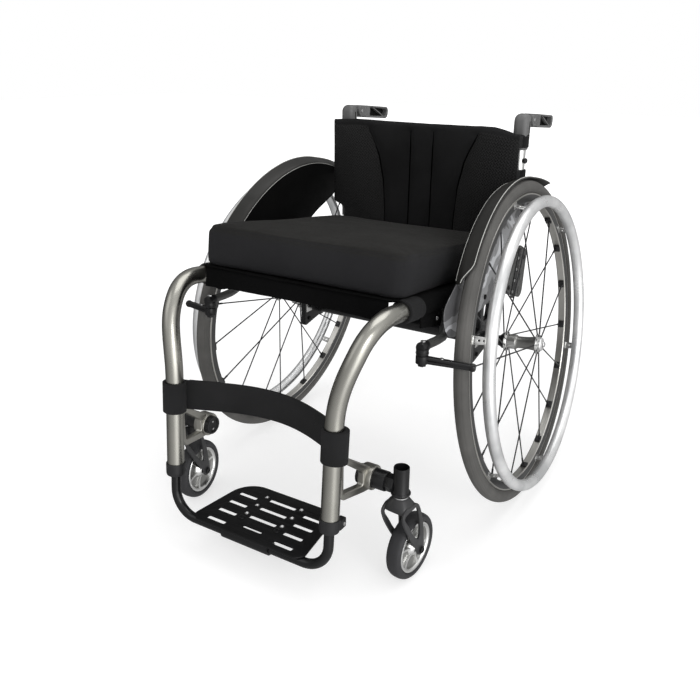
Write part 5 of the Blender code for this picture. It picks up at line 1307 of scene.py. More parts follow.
def make_caster_bracket(name, side):
    """Cast bracket from the leg: a windowed web, a clamp ring round the barrel and its pinch bolt."""
    tube_centre = Vector((LEG_X, leg_y(0.215), 0.215))
    run = Vector((BOSS_X - tube_centre.x, CASTER_STEM.y - tube_centre.y, 0))
    reach = run.length
    start = TUBE_RADIUS - 0.002
    top = 0.2465
    outline = [
        (start, top, 0.0026), (start, 0.182, 0.003), (start + 0.008, 0.173, 0.01), (reach - 0.02, 0.165, 0.004),
        (reach - 0.004, 0.164, 0.004), (reach - 0.004, 0.203, 0.004), (start + 0.011, top, 0.004),
    ]
    window = [
        (start + 0.0085, 0.185, 0.004), (reach - 0.023, 0.178, 0.004), (reach - 0.023, 0.201, 0.006),
        (start + 0.0085, 0.2365, 0.003),
    ]
    turn = atan2(run.y, side * run.x)
    place = shift((side * tube_centre.x, tube_centre.y, 0)) @ rotation(turn, 4, "Z") @ UPRIGHT
    bm = bmesh.new()
    join(bm, plate([fillet(outline, 0.003, 5), fillet(window, 0.003, 5)], 0.012, 0.0022, 4), place)
    across = shift((side * BOSS_X, CASTER_STEM.y, BARREL_Z)) @ rotation(side * pi / 2, 4, "Y")
    ring = pairs(16.2, -10.8, 18.6, -11, 19.9, -10.2, 20.4, -8.5, 20.4, 8.5, 19.9, 10.2, 18.6, 11, 16.2, 10.8)
    turned(bm, ring, 56, across)
    lug = Vector((side * BOSS_X, CASTER_STEM.y + 0.0175, BARREL_Z - 0.011))
    stud(bm, lug, -side * 0.01, side * 0.01, 0.0052, 20, 0.0012)
    add_piece("bracket", bm, "cast_silver", "caster_bracket", side=name, sharp=32)
    bm = bmesh.new()
    for end in (-1, 1):
        stud(bm, lug, end * 0.0098, end * 0.0118, 0.0034, 18, 0.0007, bore=0.0016)
    add_piece("bracket_bolt", bm, "black_metal", side=name)


def make_caster_housing(name, side):
    """Black barrel with its end screws, the hexagonal adapter and the open-topped upright tube."""
    bm = bmesh.new()
    inner, outer = Vector((side * 0.15, CASTER_STEM.y, BARREL_Z)), Vector((side * 0.2, CASTER_STEM.y, BARREL_Z))
    across = shift(inner) @ rotation(side * pi / 2, 4, "Y")
    profile = pairs(
        0, 2.2, 11.2, 2.2, 12, 0.6, 14.8, 0, 15.7, 0.4, 16, 1.4, 16, 48.6, 15.5, 49.6, 14, 50, 0, 50,
    )
    join(bm, turned_mesh(profile, 48, across))
    rod(
        bm, outer - Vector((side * 0.002, 0, 0)), Vector((side * 0.215, CASTER_STEM.y, BARREL_Z)), 0.0144, 6,
        0.0012,
    )
    for i in range(2):
        turn = pi * i
        spot = across @ Vector((0.007 * cos(turn), 0.007 * sin(turn), 0.0024))
        rod(bm, spot, spot - Vector((side * 0.0016, 0, 0)), 0.0019, 14, 0.0004, 1, bore=0.0009)
    add_piece("barrel", bm, ["black_metal", "silver_steel"], "caster_barrel", side=name, sharp=30)

    stem = shift((side * CASTER_STEM.x, CASTER_STEM.y, 0))
    tube = pairs(
        0, 202, 10.9, 202, 10.9, 215.7, 11.3, 216.3, 11.9, 216.5, 12.4, 215.9, 12.5, 215, 12.5, 175.5,
        13.2, 174.2, 15, 173.4, 15.7, 172.2, 15.6, 170.6, 14.8, 169.2, 12, 168.1, 10, 168, 0, 168,
    )
    add_piece("housing", turned_mesh(tube, 48, stem), "black_metal", "caster_housing", side=name, sharp=30)


def make_caster_fork(name, side):
    """Cast fork: a domed crown that flows into two open arms a side, with the axle bolt through them."""
    place = caster_place(name, side)
    axle_y, axle_z = CASTER_TRAIL, CASTER_RADIUS
    inner, thick = 0.0165, 0.0045
    front = pairs(-11, 154.5, -20, 149, -23.2, 141, -16, 122, -2, 98, 14, 74, 24.5, 60)
    rear = pairs(44.7, 59, 43.2, 74, 41.2, 90, 37.2, 110, 30, 132, 22.5, 147, 12, 154.5)
    outline = [tuple(p)[:2] for p in curve_through([(y, z, 0) for y, z in front], 4)]
    outline += arc((axle_y, axle_z), 0.0092, radians(205), radians(372), 14)
    outline += [tuple(p)[:2] for p in curve_through([(y, z, 0) for y, z in rear], 4)]
    window = curve_through(triples(
        -15, 143, 0, 1, 145.5, 0, 16.5, 144, 0, 23.5, 125, 0, 28.5, 102, 0, 29, 83, 0, 21, 84, 0, 9, 98, 0,
        -6, 122, 0, -16, 137, 0,
    ), 4, True)
    loops = [outline, [tuple(p)[:2] for p in window], circle((axle_y, axle_z), 0.0046, 20)]
    bm = bmesh.new()
    for end in (-1, 1):
        join(bm, plate(loops, thick, 0.0016, 3), place @ upright(1, end * (inner + thick / 2)))
    levels = [
        (0.1652, 0.01, 0.01, 2.0), (0.165, 0.0118, 0.0116, 2.0), (0.164, 0.0131, 0.0126, 2.1),
        (0.1618, 0.0148, 0.0138, 2.2), (0.159, 0.017, 0.0152, 2.4), (0.156, 0.019, 0.0168, 2.7),
        (0.153, 0.0203, 0.0182, 3.2), (0.15, 0.0209, 0.0194, 3.8), (0.147, 0.0209, 0.0198, 4.4),
        (0.1452, 0.0203, 0.0194, 4.4), (0.1446, 0.019, 0.0182, 4.4),
    ]
    rings = []
    for z, a, b, power in levels:
        ring = []
        for i in range(48):
            c, k = cos(tau * i / 48), sin(tau * i / 48)
            x = a * copysign(abs(c) ** (2 / power), c)
            y = b * copysign(abs(k) ** (2 / power), k)
            ring.append(bm.verts.new(place @ Vector((x, y, z))))
        rings.append(ring)
    ring_faces(bm, rings, ends=True)
    for end in (-1, 1):
        eye = place @ Vector((end * (inner + thick - 0.0004), axle_y, axle_z))
        rod(bm, eye, place @ Vector((end * (inner + thick + 0.0006), axle_y, axle_z)), 0.0084, 28, 0.0004)
    add_piece("fork", bm, "fork_black", "caster_fork", "caster_swivel", side=name, sharp=34)
    bm = bmesh.new()
    collar = pairs(9.8, 165.2, 12.2, 165.2, 12.7, 165.7, 12.7, 167.2, 12.2, 167.7, 9.8, 167.7)
    turned(bm, collar, 40, place)
    add_piece("fork_collar", bm, "silver_steel", body="caster_swivel", side=name, sharp=30)

    bm = bmesh.new()
    reach = inner + thick
    rod(bm, place @ Vector((-reach, axle_y, axle_z)), place @ Vector((reach, axle_y, axle_z)), 0.0039, 20)
    for end in (-1, 1):
        ends = [place @ Vector((end * (reach + x), axle_y, axle_z)) for x in (0.0005, 0.0013, 0.0036)]
        rod(bm, ends[0], ends[1], 0.007, 28, 0.0003, 1)
        rod(bm, ends[1], ends[2], 0.0056, 28, 0.0009, 1, bore=0.003)
    add_piece(
        "caster_bolt", bm, ["silver_steel", "black_metal"], "caster_axle", "caster_swivel", side=name,
        sharp=30,
    )


def make_caster_wheel(name, side):
    """Solid rounded tyre on a dished alloy rim with ribs and pockets."""
    place = caster_place(name, side) @ shift((0, CASTER_TRAIL, CASTER_RADIUS))
    place = place @ rotation(side * pi / 2, 4, "Y")
    seat = CASTER_SEAT
    half = [
        (seat + 0.0002, 0.0102), (seat + 0.0012, 0.0118), (seat + 0.003, 0.0128), (seat + 0.0052, 0.013),
        (0.0512, 0.0122), (0.0532, 0.0104), (0.0545, 0.008), (0.0552, 0.0052), (0.0555, 0.002),
    ]
    profile = half + [(r, -z) for r, z in reversed(half)]
    add_piece(
        "caster_tread", turned_mesh(profile, 72, place), "tyre_black", "caster_tyre", "caster_wheel",
        side=name, sharp=50,
    )
    face = [
        (0.0043, 0.0139), (0.0092, 0.0139), (0.0098, 0.0134), (0.0104, 0.012), (0.0125, 0.0105),
        (0.015, 0.0062), (0.0168, 0.0046), (0.032, 0.004), (0.035, 0.0052), (0.0372, 0.0088), (0.0384, 0.0106),
        (0.0394, 0.0112), (0.0426, 0.0112), (0.0432, 0.0106), (seat, 0.0098),
    ]
    looks = [1] * 5 + [0] * 4 + [1] * 5 + [1]
    profile = face + [(r, -z) for r, z in reversed(face)]
    bm = bmesh.new()
    turned(bm, profile, 72, place, looks + looks[-2::-1] + [1])
    for end in (-1, 1):
        for i in range(6):
            turn = place @ rotation(tau * i / 6 + 0.3, 4, "Z")
            top, foot = [], []
            for r, wide, rise in (
                (0.011, 0.0052, 0.01), (0.017, 0.0036, 0.0078), (0.026, 0.0034, 0.0072), (0.034, 0.0046, 0.0082),
                (0.0385, 0.0062, 0.01),
            ):
                top += [((r, -wide / 2, end * rise), (r, wide / 2, end * rise))]
                foot += [((r, -wide / 2 - 0.001, end * 0.003), (r, wide / 2 + 0.001, end * 0.003))]
            rings = []
            for (a, b), (c, d) in zip(top, foot):
                rings.append([bm.verts.new(turn @ Vector(p)) for p in (a, b, d, c)])
            ring_faces(bm, rings, material=1)
            for ring in (rings[0], rings[-1]):
                bm.faces.new(ring).material_index = 1
    add_piece(
        "caster_dish", bm, ["rim_shade", "silver_bright"], "caster_rim", "caster_wheel", side=name, sharp=28,
    )


# Footrest

def make_hoop():
    corner = Vector((LEG_X, leg_y(HOOP_BOTTOM_Z), HOOP_BOTTOM_Z))
    centre = corner + LEG_UP * HOOP_BEND - Vector((HOOP_BEND, 0, 0))
    route = [Vector((LEG_X, leg_y(HOOP_TOP_Z), HOOP_TOP_Z)), Vector((LEG_X, leg_y(0.15), 0.15))]
    for i in range(21):
        turn = pi / 2 * i / 20
        route.append(centre + Vector((HOOP_BEND * cos(turn), 0, 0)) - LEG_UP * HOOP_BEND * sin(turn))
    route += [Vector((-p.x, p.y, p.z)) for p in reversed(route)]
    bm = bmesh.new()
    sweep(bm, route, round_section(HOOP_RADIUS, 28), up=(0, 1, 0))
    add_piece("hoop", bm, "gloss_black", "footrest_hoop", "footrest", sharp=50)


def slot_loop(centre, length, width, corner=0.0022):
    x, y, a, b = centre[0], centre[1], length / 2, width / 2
    return fillet([(x - a, y - b), (x + a, y - b), (x + a, y + b), (x - a, y + b)], corner, 5)


def make_footplate():
    """Slotted plate with pressed dimples and two screws."""
    front, rear, front_y, rear_y = 0.112, 0.096, -0.5125, -0.376
    outline = [
        (-front, front_y + 0.012, 0.01), (-front + 0.012, front_y, 0.012), (front - 0.012, front_y, 0.012),
        (front, front_y + 0.012, 0.01),
    ]
    outline += [(rear, rear_y, 0.046), (-rear, rear_y, 0.046)]
    loops = [fillet(outline, 0.01, 12)]
    for row in range(4):
        for end in (-1, 1):
            loops.append(slot_loop((end * 0.0675, -0.4125 - 0.028 * row), 0.037, 0.0085))
        length, width = (0.038, 0.0055) if row == 3 else (0.054, 0.0085)
        loops.append(slot_loop((0.0, -0.4035 - 0.028 * row), length, width))
    dimples = [(end * 0.0365, -0.4 - 0.028 * row) for row in range(3) for end in (-1, 1)]
    loops += [circle(spot, 0.0028, 16) for spot in dimples]
    place = shift((0, 0, PLATE_BOTTOM_Z + PLATE_THICKNESS / 2))
    bm = bmesh.new()
    join(bm, plate(loops, PLATE_THICKNESS, 0.0007, 2), place)
    add_piece("foot_plate", bm, "plate_black", "footplate", "footrest", sharp=34)
    top = PLATE_BOTTOM_Z + PLATE_THICKNESS
    bm = bmesh.new()
    for x, y in dimples:
        cup = [
            (0.0, top - 0.0024), (0.0014, top - 0.0023), (0.0024, top - 0.0012), (0.003, top - 0.0001),
            (0.0038, top + 0.0001), (0.0038, top - 0.0006), (0.002, top - 0.0029), (0.0, top - 0.0029),
        ]
        join(bm, turned_mesh(cup, 24, shift((x, y, 0))))
    add_piece("plate_dimples", bm, "silver_steel", body="footrest", sharp=60)
    bm = bmesh.new()
    for end in (-1, 1):
        foot = Vector((end * 0.0365, -0.47, top - 0.001))
        rod(bm, foot, foot + Vector((0, 0, 0.0024)), 0.0056, 28, 0.0011, bore=0.0024)
    add_piece("plate_screws", bm, "black_metal", body="footrest")


def make_collar(name, side):
    """Reducer at the tube's foot with its pinch lug and bolt."""
    foot = Vector((side * LEG_X, leg_y(0.132), 0.132))
    turn = LEG_UP.to_track_quat("Z", "Y").to_matrix().to_4x4()
    high = 0.022 / LEG_UP.z
    profile = [
        (HOOP_RADIUS + 0.0004, 0.0), (0.0138, 0.0), (0.0152, 0.001), (0.016, 0.004), (0.0162, 0.008),
        (0.0162, high - 0.001), (0.0155, high), (TUBE_RADIUS + 0.0003, high), (TUBE_RADIUS + 0.0003, 0.0138),
        (HOOP_RADIUS + 0.0004, 0.0136),
    ]
    bm = bmesh.new()
    turned(bm, profile, 48, shift(foot) @ turn)
    middle = Vector((side * LEG_X, leg_y(0.143), 0.143))
    low = middle + Vector((side * 0.01 - 0.0055, 0.006, -0.01))
    top = middle + Vector((side * 0.01 + 0.0055, 0.023, 0.006))
    block(bm, low, top, 0.0022, segments=4)
    add_piece("collar", bm, "black_plastic", "hoop_collar", side=name, sharp=32)
    bm = bmesh.new()
    spot = middle + Vector((side * 0.01, 0.016, -0.002))
    for end in (-1, 1):
        stud(bm, spot, end * 0.0053, end * 0.0074, 0.0033, 20, 0.0006, bore=0.0016)
    add_piece("collar_bolt", bm, "silver_steel", side=name)


# Back frame and handles

def make_back_frame():
    reach = RAIL_X - POST_RADIUS - GAP
    rear, height = POST_Y + 0.03, 0.545
    route = [Vector((-reach, POST_Y, height)), Vector((-reach + 0.006, POST_Y, height))]
    route += bezier(
        Vector((-reach + 0.012, POST_Y, height)), Vector((-reach + 0.032, POST_Y, height)),
        Vector((-reach + 0.03, rear, height)), Vector((-reach + 0.05, rear, height)), 14,
    )
    route.append(Vector((-reach + 0.05, rear, height)))
    route += [Vector((-p.x, p.y, p.z)) for p in reversed(route)]
    bm = bmesh.new()
    sweep(bm, route, round_section(0.008, 24))
    for end in (-1, 1):
        stud(bm, (end * reach, POST_Y, height), -end * 0.006, 0.0, 0.01, 28, 0.0012)
    add_piece("stiffener_bar", bm, "black_metal", "back_bar", "backrest", sharp=34)


def make_post(name, side):
    """Silver post: a flat hinge tongue at its foot and a knob at its side."""
    x = side * RAIL_X
    bm = bmesh.new()
    stand(bm, (x, POST_Y), 0.5035, 0.664, POST_RADIUS, 40, 0.001)
    block(bm, (x - 0.0042, POST_Y - 0.0085, FOLD_Z), (x + 0.0042, POST_Y + 0.0085, 0.5045), 0.0008)
    stud(bm, (x, POST_Y, FOLD_Z), -0.0042, 0.0042, 0.0095, 36, 0.0006)
    add_piece("post", bm, "silver_metal", "back_post", "backrest", side=name, sharp=30)
    bm = bmesh.new()
    spot = Vector((x, POST_Y, 0.618))
    out = Vector((side * 0.95, -0.3, 0)).normalized()
    rod(bm, spot + out * 0.0095, spot + out * 0.0125, 0.0042, 24, 0.0006)
    rod(bm, spot + out * 0.012, spot + out * 0.0165, 0.0052, 24, 0.0016)
    add_piece("post_knob", bm, "black_plastic", body="backrest", side=name)


def make_back_bracket(name, side):
    """Perforated plate, its bolts, the post's socket and the fold hinge's ears."""
    x = side * RAIL_X
    corners = triples(47, 373, 8, 150, 337, 16, 162, 436, 10, 118, 455, 8)
    loops = [fillet(corners, 0.008, 8)]
    spots = [(0.09 + 0.0065 * row, 0.3655 + 0.0215 * row) for row in range(4)]
    loops += [circle(spot, 0.0048, 20) for spot in spots]
    slot = slot_loop((0, 0), 0.0165, 0.0075, 0.0036)
    for row in range(3):
        y, z = 0.127 + 0.0045 * row, 0.36 + 0.027 * row
        loops.append([(y + a * 0.17 + b, z + a) for a, b in slot])
    inner_x = RAIL_X + TUBE_RADIUS + GAP
    bm = bmesh.new()
    join(bm, plate(loops, 0.004, 0.0008, 2), upright(side, inner_x + 0.002))
    stand(bm, (x, POST_Y), 0.386, 0.476, POST_RADIUS, 40, 0.001)
    pad = sorted((side * (RAIL_X + 0.006), side * (inner_x + 0.001)))
    block(bm, (pad[0], POST_Y - 0.009, 0.394), (pad[1], POST_Y + 0.009, 0.444), 0.0012)
    for end in (-1, 1):
        sheet = sorted((x + end * 0.0045, x + end * 0.0106))
        block(bm, (sheet[0], POST_Y - 0.0095, 0.47), (sheet[1], POST_Y + 0.0095, FOLD_Z), 0.001)
        rod(bm, (sheet[0], POST_Y, FOLD_Z), (sheet[1], POST_Y, FOLD_Z), 0.01, 32, 0.0008)
    add_piece("bracket_plate", bm, "grey_coated", "back_bracket", side=name, sharp=32)
    bm = bmesh.new()
    for end in (-1, 1):
        stud(bm, (x, POST_Y, FOLD_Z), end * 0.01, end * 0.0128, 0.0046, 24, 0.0008, bore=0.002)
    face = side * (inner_x + 0.004)
    strip = fillet(pairs(78.5, 356, 99, 350, 122, 448, 108.5, 449), 0.004, 5)
    holes = [circle(spot, 0.005, 20) for spot in spots]
    join(bm, plate([strip] + holes, 0.0014, 0.0004, 1), upright(side, inner_x + 0.0048))
    for y, z in spots:
        stud(bm, (face, y, z), -side * 0.001, side * 0.0016, 0.0036, 20, 0.0005, 1, 0.0016)
    for y, z in ((0.0655, 0.38), (0.14, 0.426)):
        stud(bm, (face, y, z), -side * 0.0004, side * 0.0026, 0.0048, 24, 0.001, bore=0.0022)
    add_piece("bracket_bolts", bm, ["black_metal", "silver_steel"], side=name)


def make_handle(name, side):
    """Folding push handle: a sleeve with an elbow, and a grip with a pocket, darkened by painted shade, that a web
    crosses.
    """
    x = side * RAIL_X
    shoulder = HINGE_Y - 0.0143
    bm = bmesh.new()
    inner, outer = POST_RADIUS + 0.0004, HANDLE_SLEEVE
    sleeve = [
        (inner, 0.0), (0.0128, 0.0), (0.0136, 0.0008), (outer, 0.002), (outer, 0.035), (outer, 0.038),
        (inner, 0.038),
    ]
    turned(bm, sleeve, 44, shift((x, POST_Y, 0.638)))
    front, corner = POST_Y - HANDLE_SLEEVE, HANDLE_CORNER
    elbow = [
        (front, 0.654, corner), (POST_Y + 0.008, 0.654, corner), (shoulder, 0.668, corner),
        (shoulder, HANDLE_TOP_Z, corner), (front, HANDLE_TOP_Z, 0.015),
    ]
    join(bm, plate([fillet(elbow, HANDLE_CORNER, 10)], 2 * HANDLE_HALF, 0.011, 9), upright(side, RAIL_X))
    block(bm, (x - 0.0055, POST_Y, 0.682), (x + 0.0055, HINGE_Y, 0.699), 0.001)
    stud(bm, (x, HINGE_Y, HINGE_Z), -0.0055, 0.0055, 0.009, 28, 0.0006)
    # Thin near-black strips on the elbow's sides: painted shade for its slits.
    for end in (-1, 1):
        slit = sorted((x + end * (HANDLE_HALF - 0.0004), x + end * (HANDLE_HALF + 0.00025)))
        block(bm, (slit[0], POST_Y - 0.001, 0.666), (slit[1], POST_Y + 0.0018, 0.69), 0.0, material=1)
    add_piece(
        "handle_elbow", bm, ["grey_plastic", "recess_shade"], "handle_base", "backrest", side=name, sharp=32,
    )

    tilt = shift((x, HINGE_Y, HINGE_Z)) @ rotation(-GRIP_SLOPE, 4, "X")
    length = (GRIP_END_Y - HINGE_Y) / cos(GRIP_SLOPE)
    top = HANDLE_TOP_Z - HINGE_Z - 0.001
    bottom, start = top - 0.025, 0.016
    outline = [(start, bottom, 0.004), (length, bottom, 0.0115), (length, top, 0.0085), (start, top, 0.0036)]
    pocket = [
        (length - 0.082, -0.0088, 0.0015), (length - 0.0075, -0.008, 0.0075), (length - 0.007, 0.0076, 0.005),
        (length - 0.082, 0.0088, 0.0015),
    ]
    bm = bmesh.new()
    join(
        bm, plate([fillet(outline, 0.006, 9), fillet(pocket, 0.003, 6)], 2 * HANDLE_HALF, 0.0022, 5),
        tilt @ upright(),
    )
    # A near-black plate inside the pocket: painted shade for its depth.
    join(bm, plate([fillet(pocket, 0.003, 6)], 0.008, 0.0002, 0), tilt @ upright(), 1)
    one, two = Vector((length - 0.07, 0.0095)), Vector((length - 0.018, -0.0085))
    way = (two - one).normalized()
    square = Vector((-way.y, way.x)) * 0.001
    web = [one + square, two + square, two - square, one - square]
    for end in (-1, 1):
        join(bm, plate([web], 0.007, 0.0003, 1), tilt @ upright(end, 0.0095))
    cheek = arc(
        (0.0, 0.0), 0.0115, radians(95), radians(265), 18,
    ) + [(start + 0.012, -0.0107), (start + 0.012, 0.0107)]
    thick = HANDLE_HALF - 0.0004 - 0.0058
    for end in (-1, 1):
        join(
            bm, plate([cheek, circle((0, 0), 0.0034, 18)], thick, 0.0012, 3),
            tilt @ upright(end, 0.0058 + thick / 2),
        )
    add_piece("grip", bm, ["grey_plastic", "recess_shade"], "push_handle", "handle_grip", side=name, sharp=32)
    bm = bmesh.new()
    for end in (-1, 1):
        stud(bm, (x, HINGE_Y, HINGE_Z), end * 0.0135, end * 0.0148, 0.0032, 18, 0.0005)
    add_piece("handle_pin", bm, "silver_steel", body="handle_grip", side=name)


# Axle carriers and brakes

def make_camber_tube():
    half = CAMBER_HALF
    bm = bmesh.new()
    profile = [
        (CAMBER_TUBE, half - 0.0005), (0.0138, half), (0.0123, half), (0.0123, -half), (0.0138, -half),
        (CAMBER_TUBE, -half + 0.0005),
    ]
    turned(bm, profile, 48, shift((0, 0, CAMBER_Z)) @ rotation(pi / 2, 4, "Y"))
    add_piece("axle_tube", bm, "black_metal", "camber_tube", sharp=30)


def add_saddle(bm, side, y, length):
    """Cradle under the rail that carries a hanger or a brake."""
    cup = arc((0, 0), TUBE_RADIUS + 0.0006, radians(-132), radians(-48), 14)
    foot = pairs(14, -11.2, 14, -18.5, 11, -21.5, -11, -21.5, -14, -18.5)
    shape = plate([pairs(-14, -11.2) + cup + foot], length, 0.0008, 2)
    join(bm, shape, seat_place(y) @ shift((side * RAIL_X, 0, 0)) @ UPRIGHT)


def make_hanger(name, side):
    """Cast hanger under the rail with its saddle, silver pinch plate and bolts."""
    x = side * RAIL_X
    top = rail_z(0.0) - TUBE_RADIUS - 0.002
    outline = [(y, top - RAIL_FALL * y, 0.002) for y in (0.036, -0.052)]
    outline += triples(-40, 345, 10, -36, 322, 3, -62, 318, 3, -62, 262, 3)
    outline += [
        (y, z, 0)
        for y, z in arc((0.0, CAMBER_Z), 0.0205, radians(-115), radians(35), 24)
    ] + [(0.02, 0.345, 0.01)]
    window = pairs(-26, 366, 14, 362, 8, 334, -24, 334)
    bm = bmesh.new()
    join(bm, plate([fillet(outline, 0.003, 6), fillet(window, 0.005, 6)], 0.012, 0.0016, 3), upright(side, RAIL_X))
    add_saddle(bm, side, -0.008, 0.092)
    add_piece("hanger", bm, "black_metal", "axle_hanger", side=name, sharp=32)
    bm = bmesh.new()
    for end in (-1, 1):
        face = x + end * 0.0058
        block(
            bm, (min(face, face + end * 0.0016), -0.06, 0.292), (max(face, face + end * 0.0016), -0.04, 0.316),
            0.0005,
        )
    add_piece("hanger_plates", bm, "silver_metal", side=name)
    bm = bmesh.new()
    for end in (-1, 1):
        face = x + end * 0.007
        for y, z in ((-0.049, 0.304), (-0.049, 0.276)):
            stud(bm, (face, y, z), 0.0, end * 0.003, 0.0044, 22, 0.0008, bore=0.002)
    add_piece("hanger_bolts", bm, "black_metal", side=name)


def make_sleeve(name, side):
    """Camber plug: a collar on the tube's end and the canted sleeve that takes the quick-release axle."""
    bm = bmesh.new()
    stud(bm, (side * (CAMBER_HALF + GAP), 0, CAMBER_Z), 0.0, side * 0.004, CAMBER_TUBE, 44, 0.001)
    place = wheel_place(side)
    inner, outer = place @ Vector((0, 0, -HUB_INNER - 0.0243)), place @ Vector((0, 0, -HUB_INNER - GAP))
    rod(bm, inner, outer, 0.0095, 40, 0.0008)
    rod(
        bm, outer - (outer - inner).normalized() * 0.0046, outer - (outer - inner).normalized() * 0.0004, 0.0108, 6,
        0.0006,
    )
    add_piece("sleeve", bm, "black_metal", "axle_sleeve", side=name, sharp=30)


def make_brake(name, side):
    """Scissor brake: a round arm under the rail, a pivot block, and a twin link with a round pad."""
    pivot = Vector((side * 0.212, -0.3235, 0.0))
    bottom, top = 0.3705, 0.3785
    axis = Vector((side * RAIL_X, -0.218, rail_z(-0.218)))
    bm = bmesh.new()
    add_saddle(bm, side, -0.218, 0.04)
    elbow = Vector((side * 0.2185, -0.25, top + 0.001))
    hanger = Vector((side * (RAIL_X + 0.008), -0.224, axis.z - 0.0185))
    eye = Vector((pivot.x, pivot.y, top + 0.005))
    bend = hanger.lerp(elbow, 0.45)
    route = bezier(
        hanger, bend, elbow + (hanger - elbow) * 0.1, elbow.lerp(eye, 0.22), 10,
    ) + [elbow.lerp(eye, 0.4), elbow.lerp(eye, 0.7), eye]
    sweep(bm, route, lambda share: round_section(0.0078 - 0.0006 * share, 26), material=1)
    rod(bm, eye + (eye - elbow).normalized() * 0.0085, eye - (eye - elbow).normalized() * 0.013, 0.0086, 32, 0.003)
    stand(bm, pivot, bottom, top + 0.003, 0.01, 36, 0.0016)
    stand(bm, pivot, 0.3565, bottom + 0.001, 0.0035, 18)
    stand(bm, pivot, 0.3524, 0.3562, 0.007, 6, 0.0006)
    ring = shift((pivot.x, pivot.y, 0))
    turned(bm, pairs(10.1, 373.5, 10.5, 373.8, 10.5, 374.6, 10.1, 374.9), 32, ring)
    add_piece("brake_clamp", bm, ["black_metal", "grey_coated"], "brake_bracket", side=name, sharp=32)
    bm = bmesh.new()
    stand(bm, pivot, top + 0.0132, top + 0.0152, 0.004, 6, 0.0005)
    add_piece("brake_nut", bm, "silver_steel", side=name)

    bm = bmesh.new()
    ceiling, floor = bottom - GAP, bottom - GAP - 0.0135
    stand(bm, pivot, floor, ceiling, 0.01, 36, 0.0012)
    middle = Vector((pivot.x, pivot.y, (floor + ceiling) / 2))
    tip = Vector((side * 0.2862, -0.2995, 0.3575))
    way = (tip - middle).normalized()
    across = way.cross(Vector((0, 0, 1))).normalized()
    rise = across.cross(way).normalized()
    for lift in (-0.0032, 0.0032):
        bar = fillet(pairs(-5, -2.6, 5, -2.6, 5, 2.6, -5, 2.6), 0.0016, 4)
        sweep(bm, [middle + rise * lift + way * 0.004, tip + rise * lift * 0.6 - way * 0.002], bar, up=rise)
    # A near-black bar between the twin bars: painted shade in the gap between them.
    sweep(
        bm, [middle + way * 0.006, tip - way * 0.012], pairs(-2.8, -3, 2.8, -3, 2.8, 3, -2.8, 3), up=rise,
        material=1,
    )
    rod(bm, tip - way * 0.006, tip + way * 0.005, 0.0066, 30, 0.004)
    spot = middle + way * 0.03 + rise * 0.0054
    rod(bm, spot, spot + rise * 0.0016, 0.0032, 18, 0.0005, 2)
    add_piece(
        "brake_link", bm, ["black_metal", "recess_shade", "silver_steel"], "brake_arm", "brake", side=name,
        sharp=32,
    )


# CAD nodes that keep their own shape

def smooth_group():
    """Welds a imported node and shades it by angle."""
    group = bpy.data.node_groups.new("Soft edges", "GeometryNodeTree")
    group.interface.new_socket("Geometry", in_out="INPUT", socket_type="NodeSocketGeometry")
    group.interface.new_socket("Geometry", in_out="OUTPUT", socket_type="NodeSocketGeometry")
    nodes, links = group.nodes, group.links
    start, end = nodes.new("NodeGroupInput"), nodes.new("NodeGroupOutput")
    merge = nodes.new("GeometryNodeMergeByDistance")
    merge.inputs["Distance"].default_value = 0.00001
    smooth = nodes.new("GeometryNodeSetShadeSmooth")
    smooth.domain = "FACE"
    edges = nodes.new("GeometryNodeSetShadeSmooth")
    edges.domain = "EDGE"
    angle = nodes.new("GeometryNodeInputMeshEdgeAngle")
    compare = nodes.new("FunctionNodeCompare")
    compare.operation = "LESS_THAN"
    compare.inputs[1].default_value = radians(38)
    links.new(start.outputs[0], merge.inputs[0])
    links.new(merge.outputs[0], smooth.inputs[0])
    links.new(angle.outputs[0], compare.inputs[0])
    links.new(smooth.outputs[0], edges.inputs[0])
    links.new(compare.outputs[0], edges.inputs["Shade Smooth"])
    links.new(edges.outputs[0], end.inputs[0])
    return group


def dress_cad_nodes():
    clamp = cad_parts["footplate_clamp"]
    clamp.data.materials.clear()
    clamp.data.materials.append(LOOKS["black_metal"])
    clamp.modifiers.new("Soft edges", "NODES").node_group = smooth_group()


# Stage

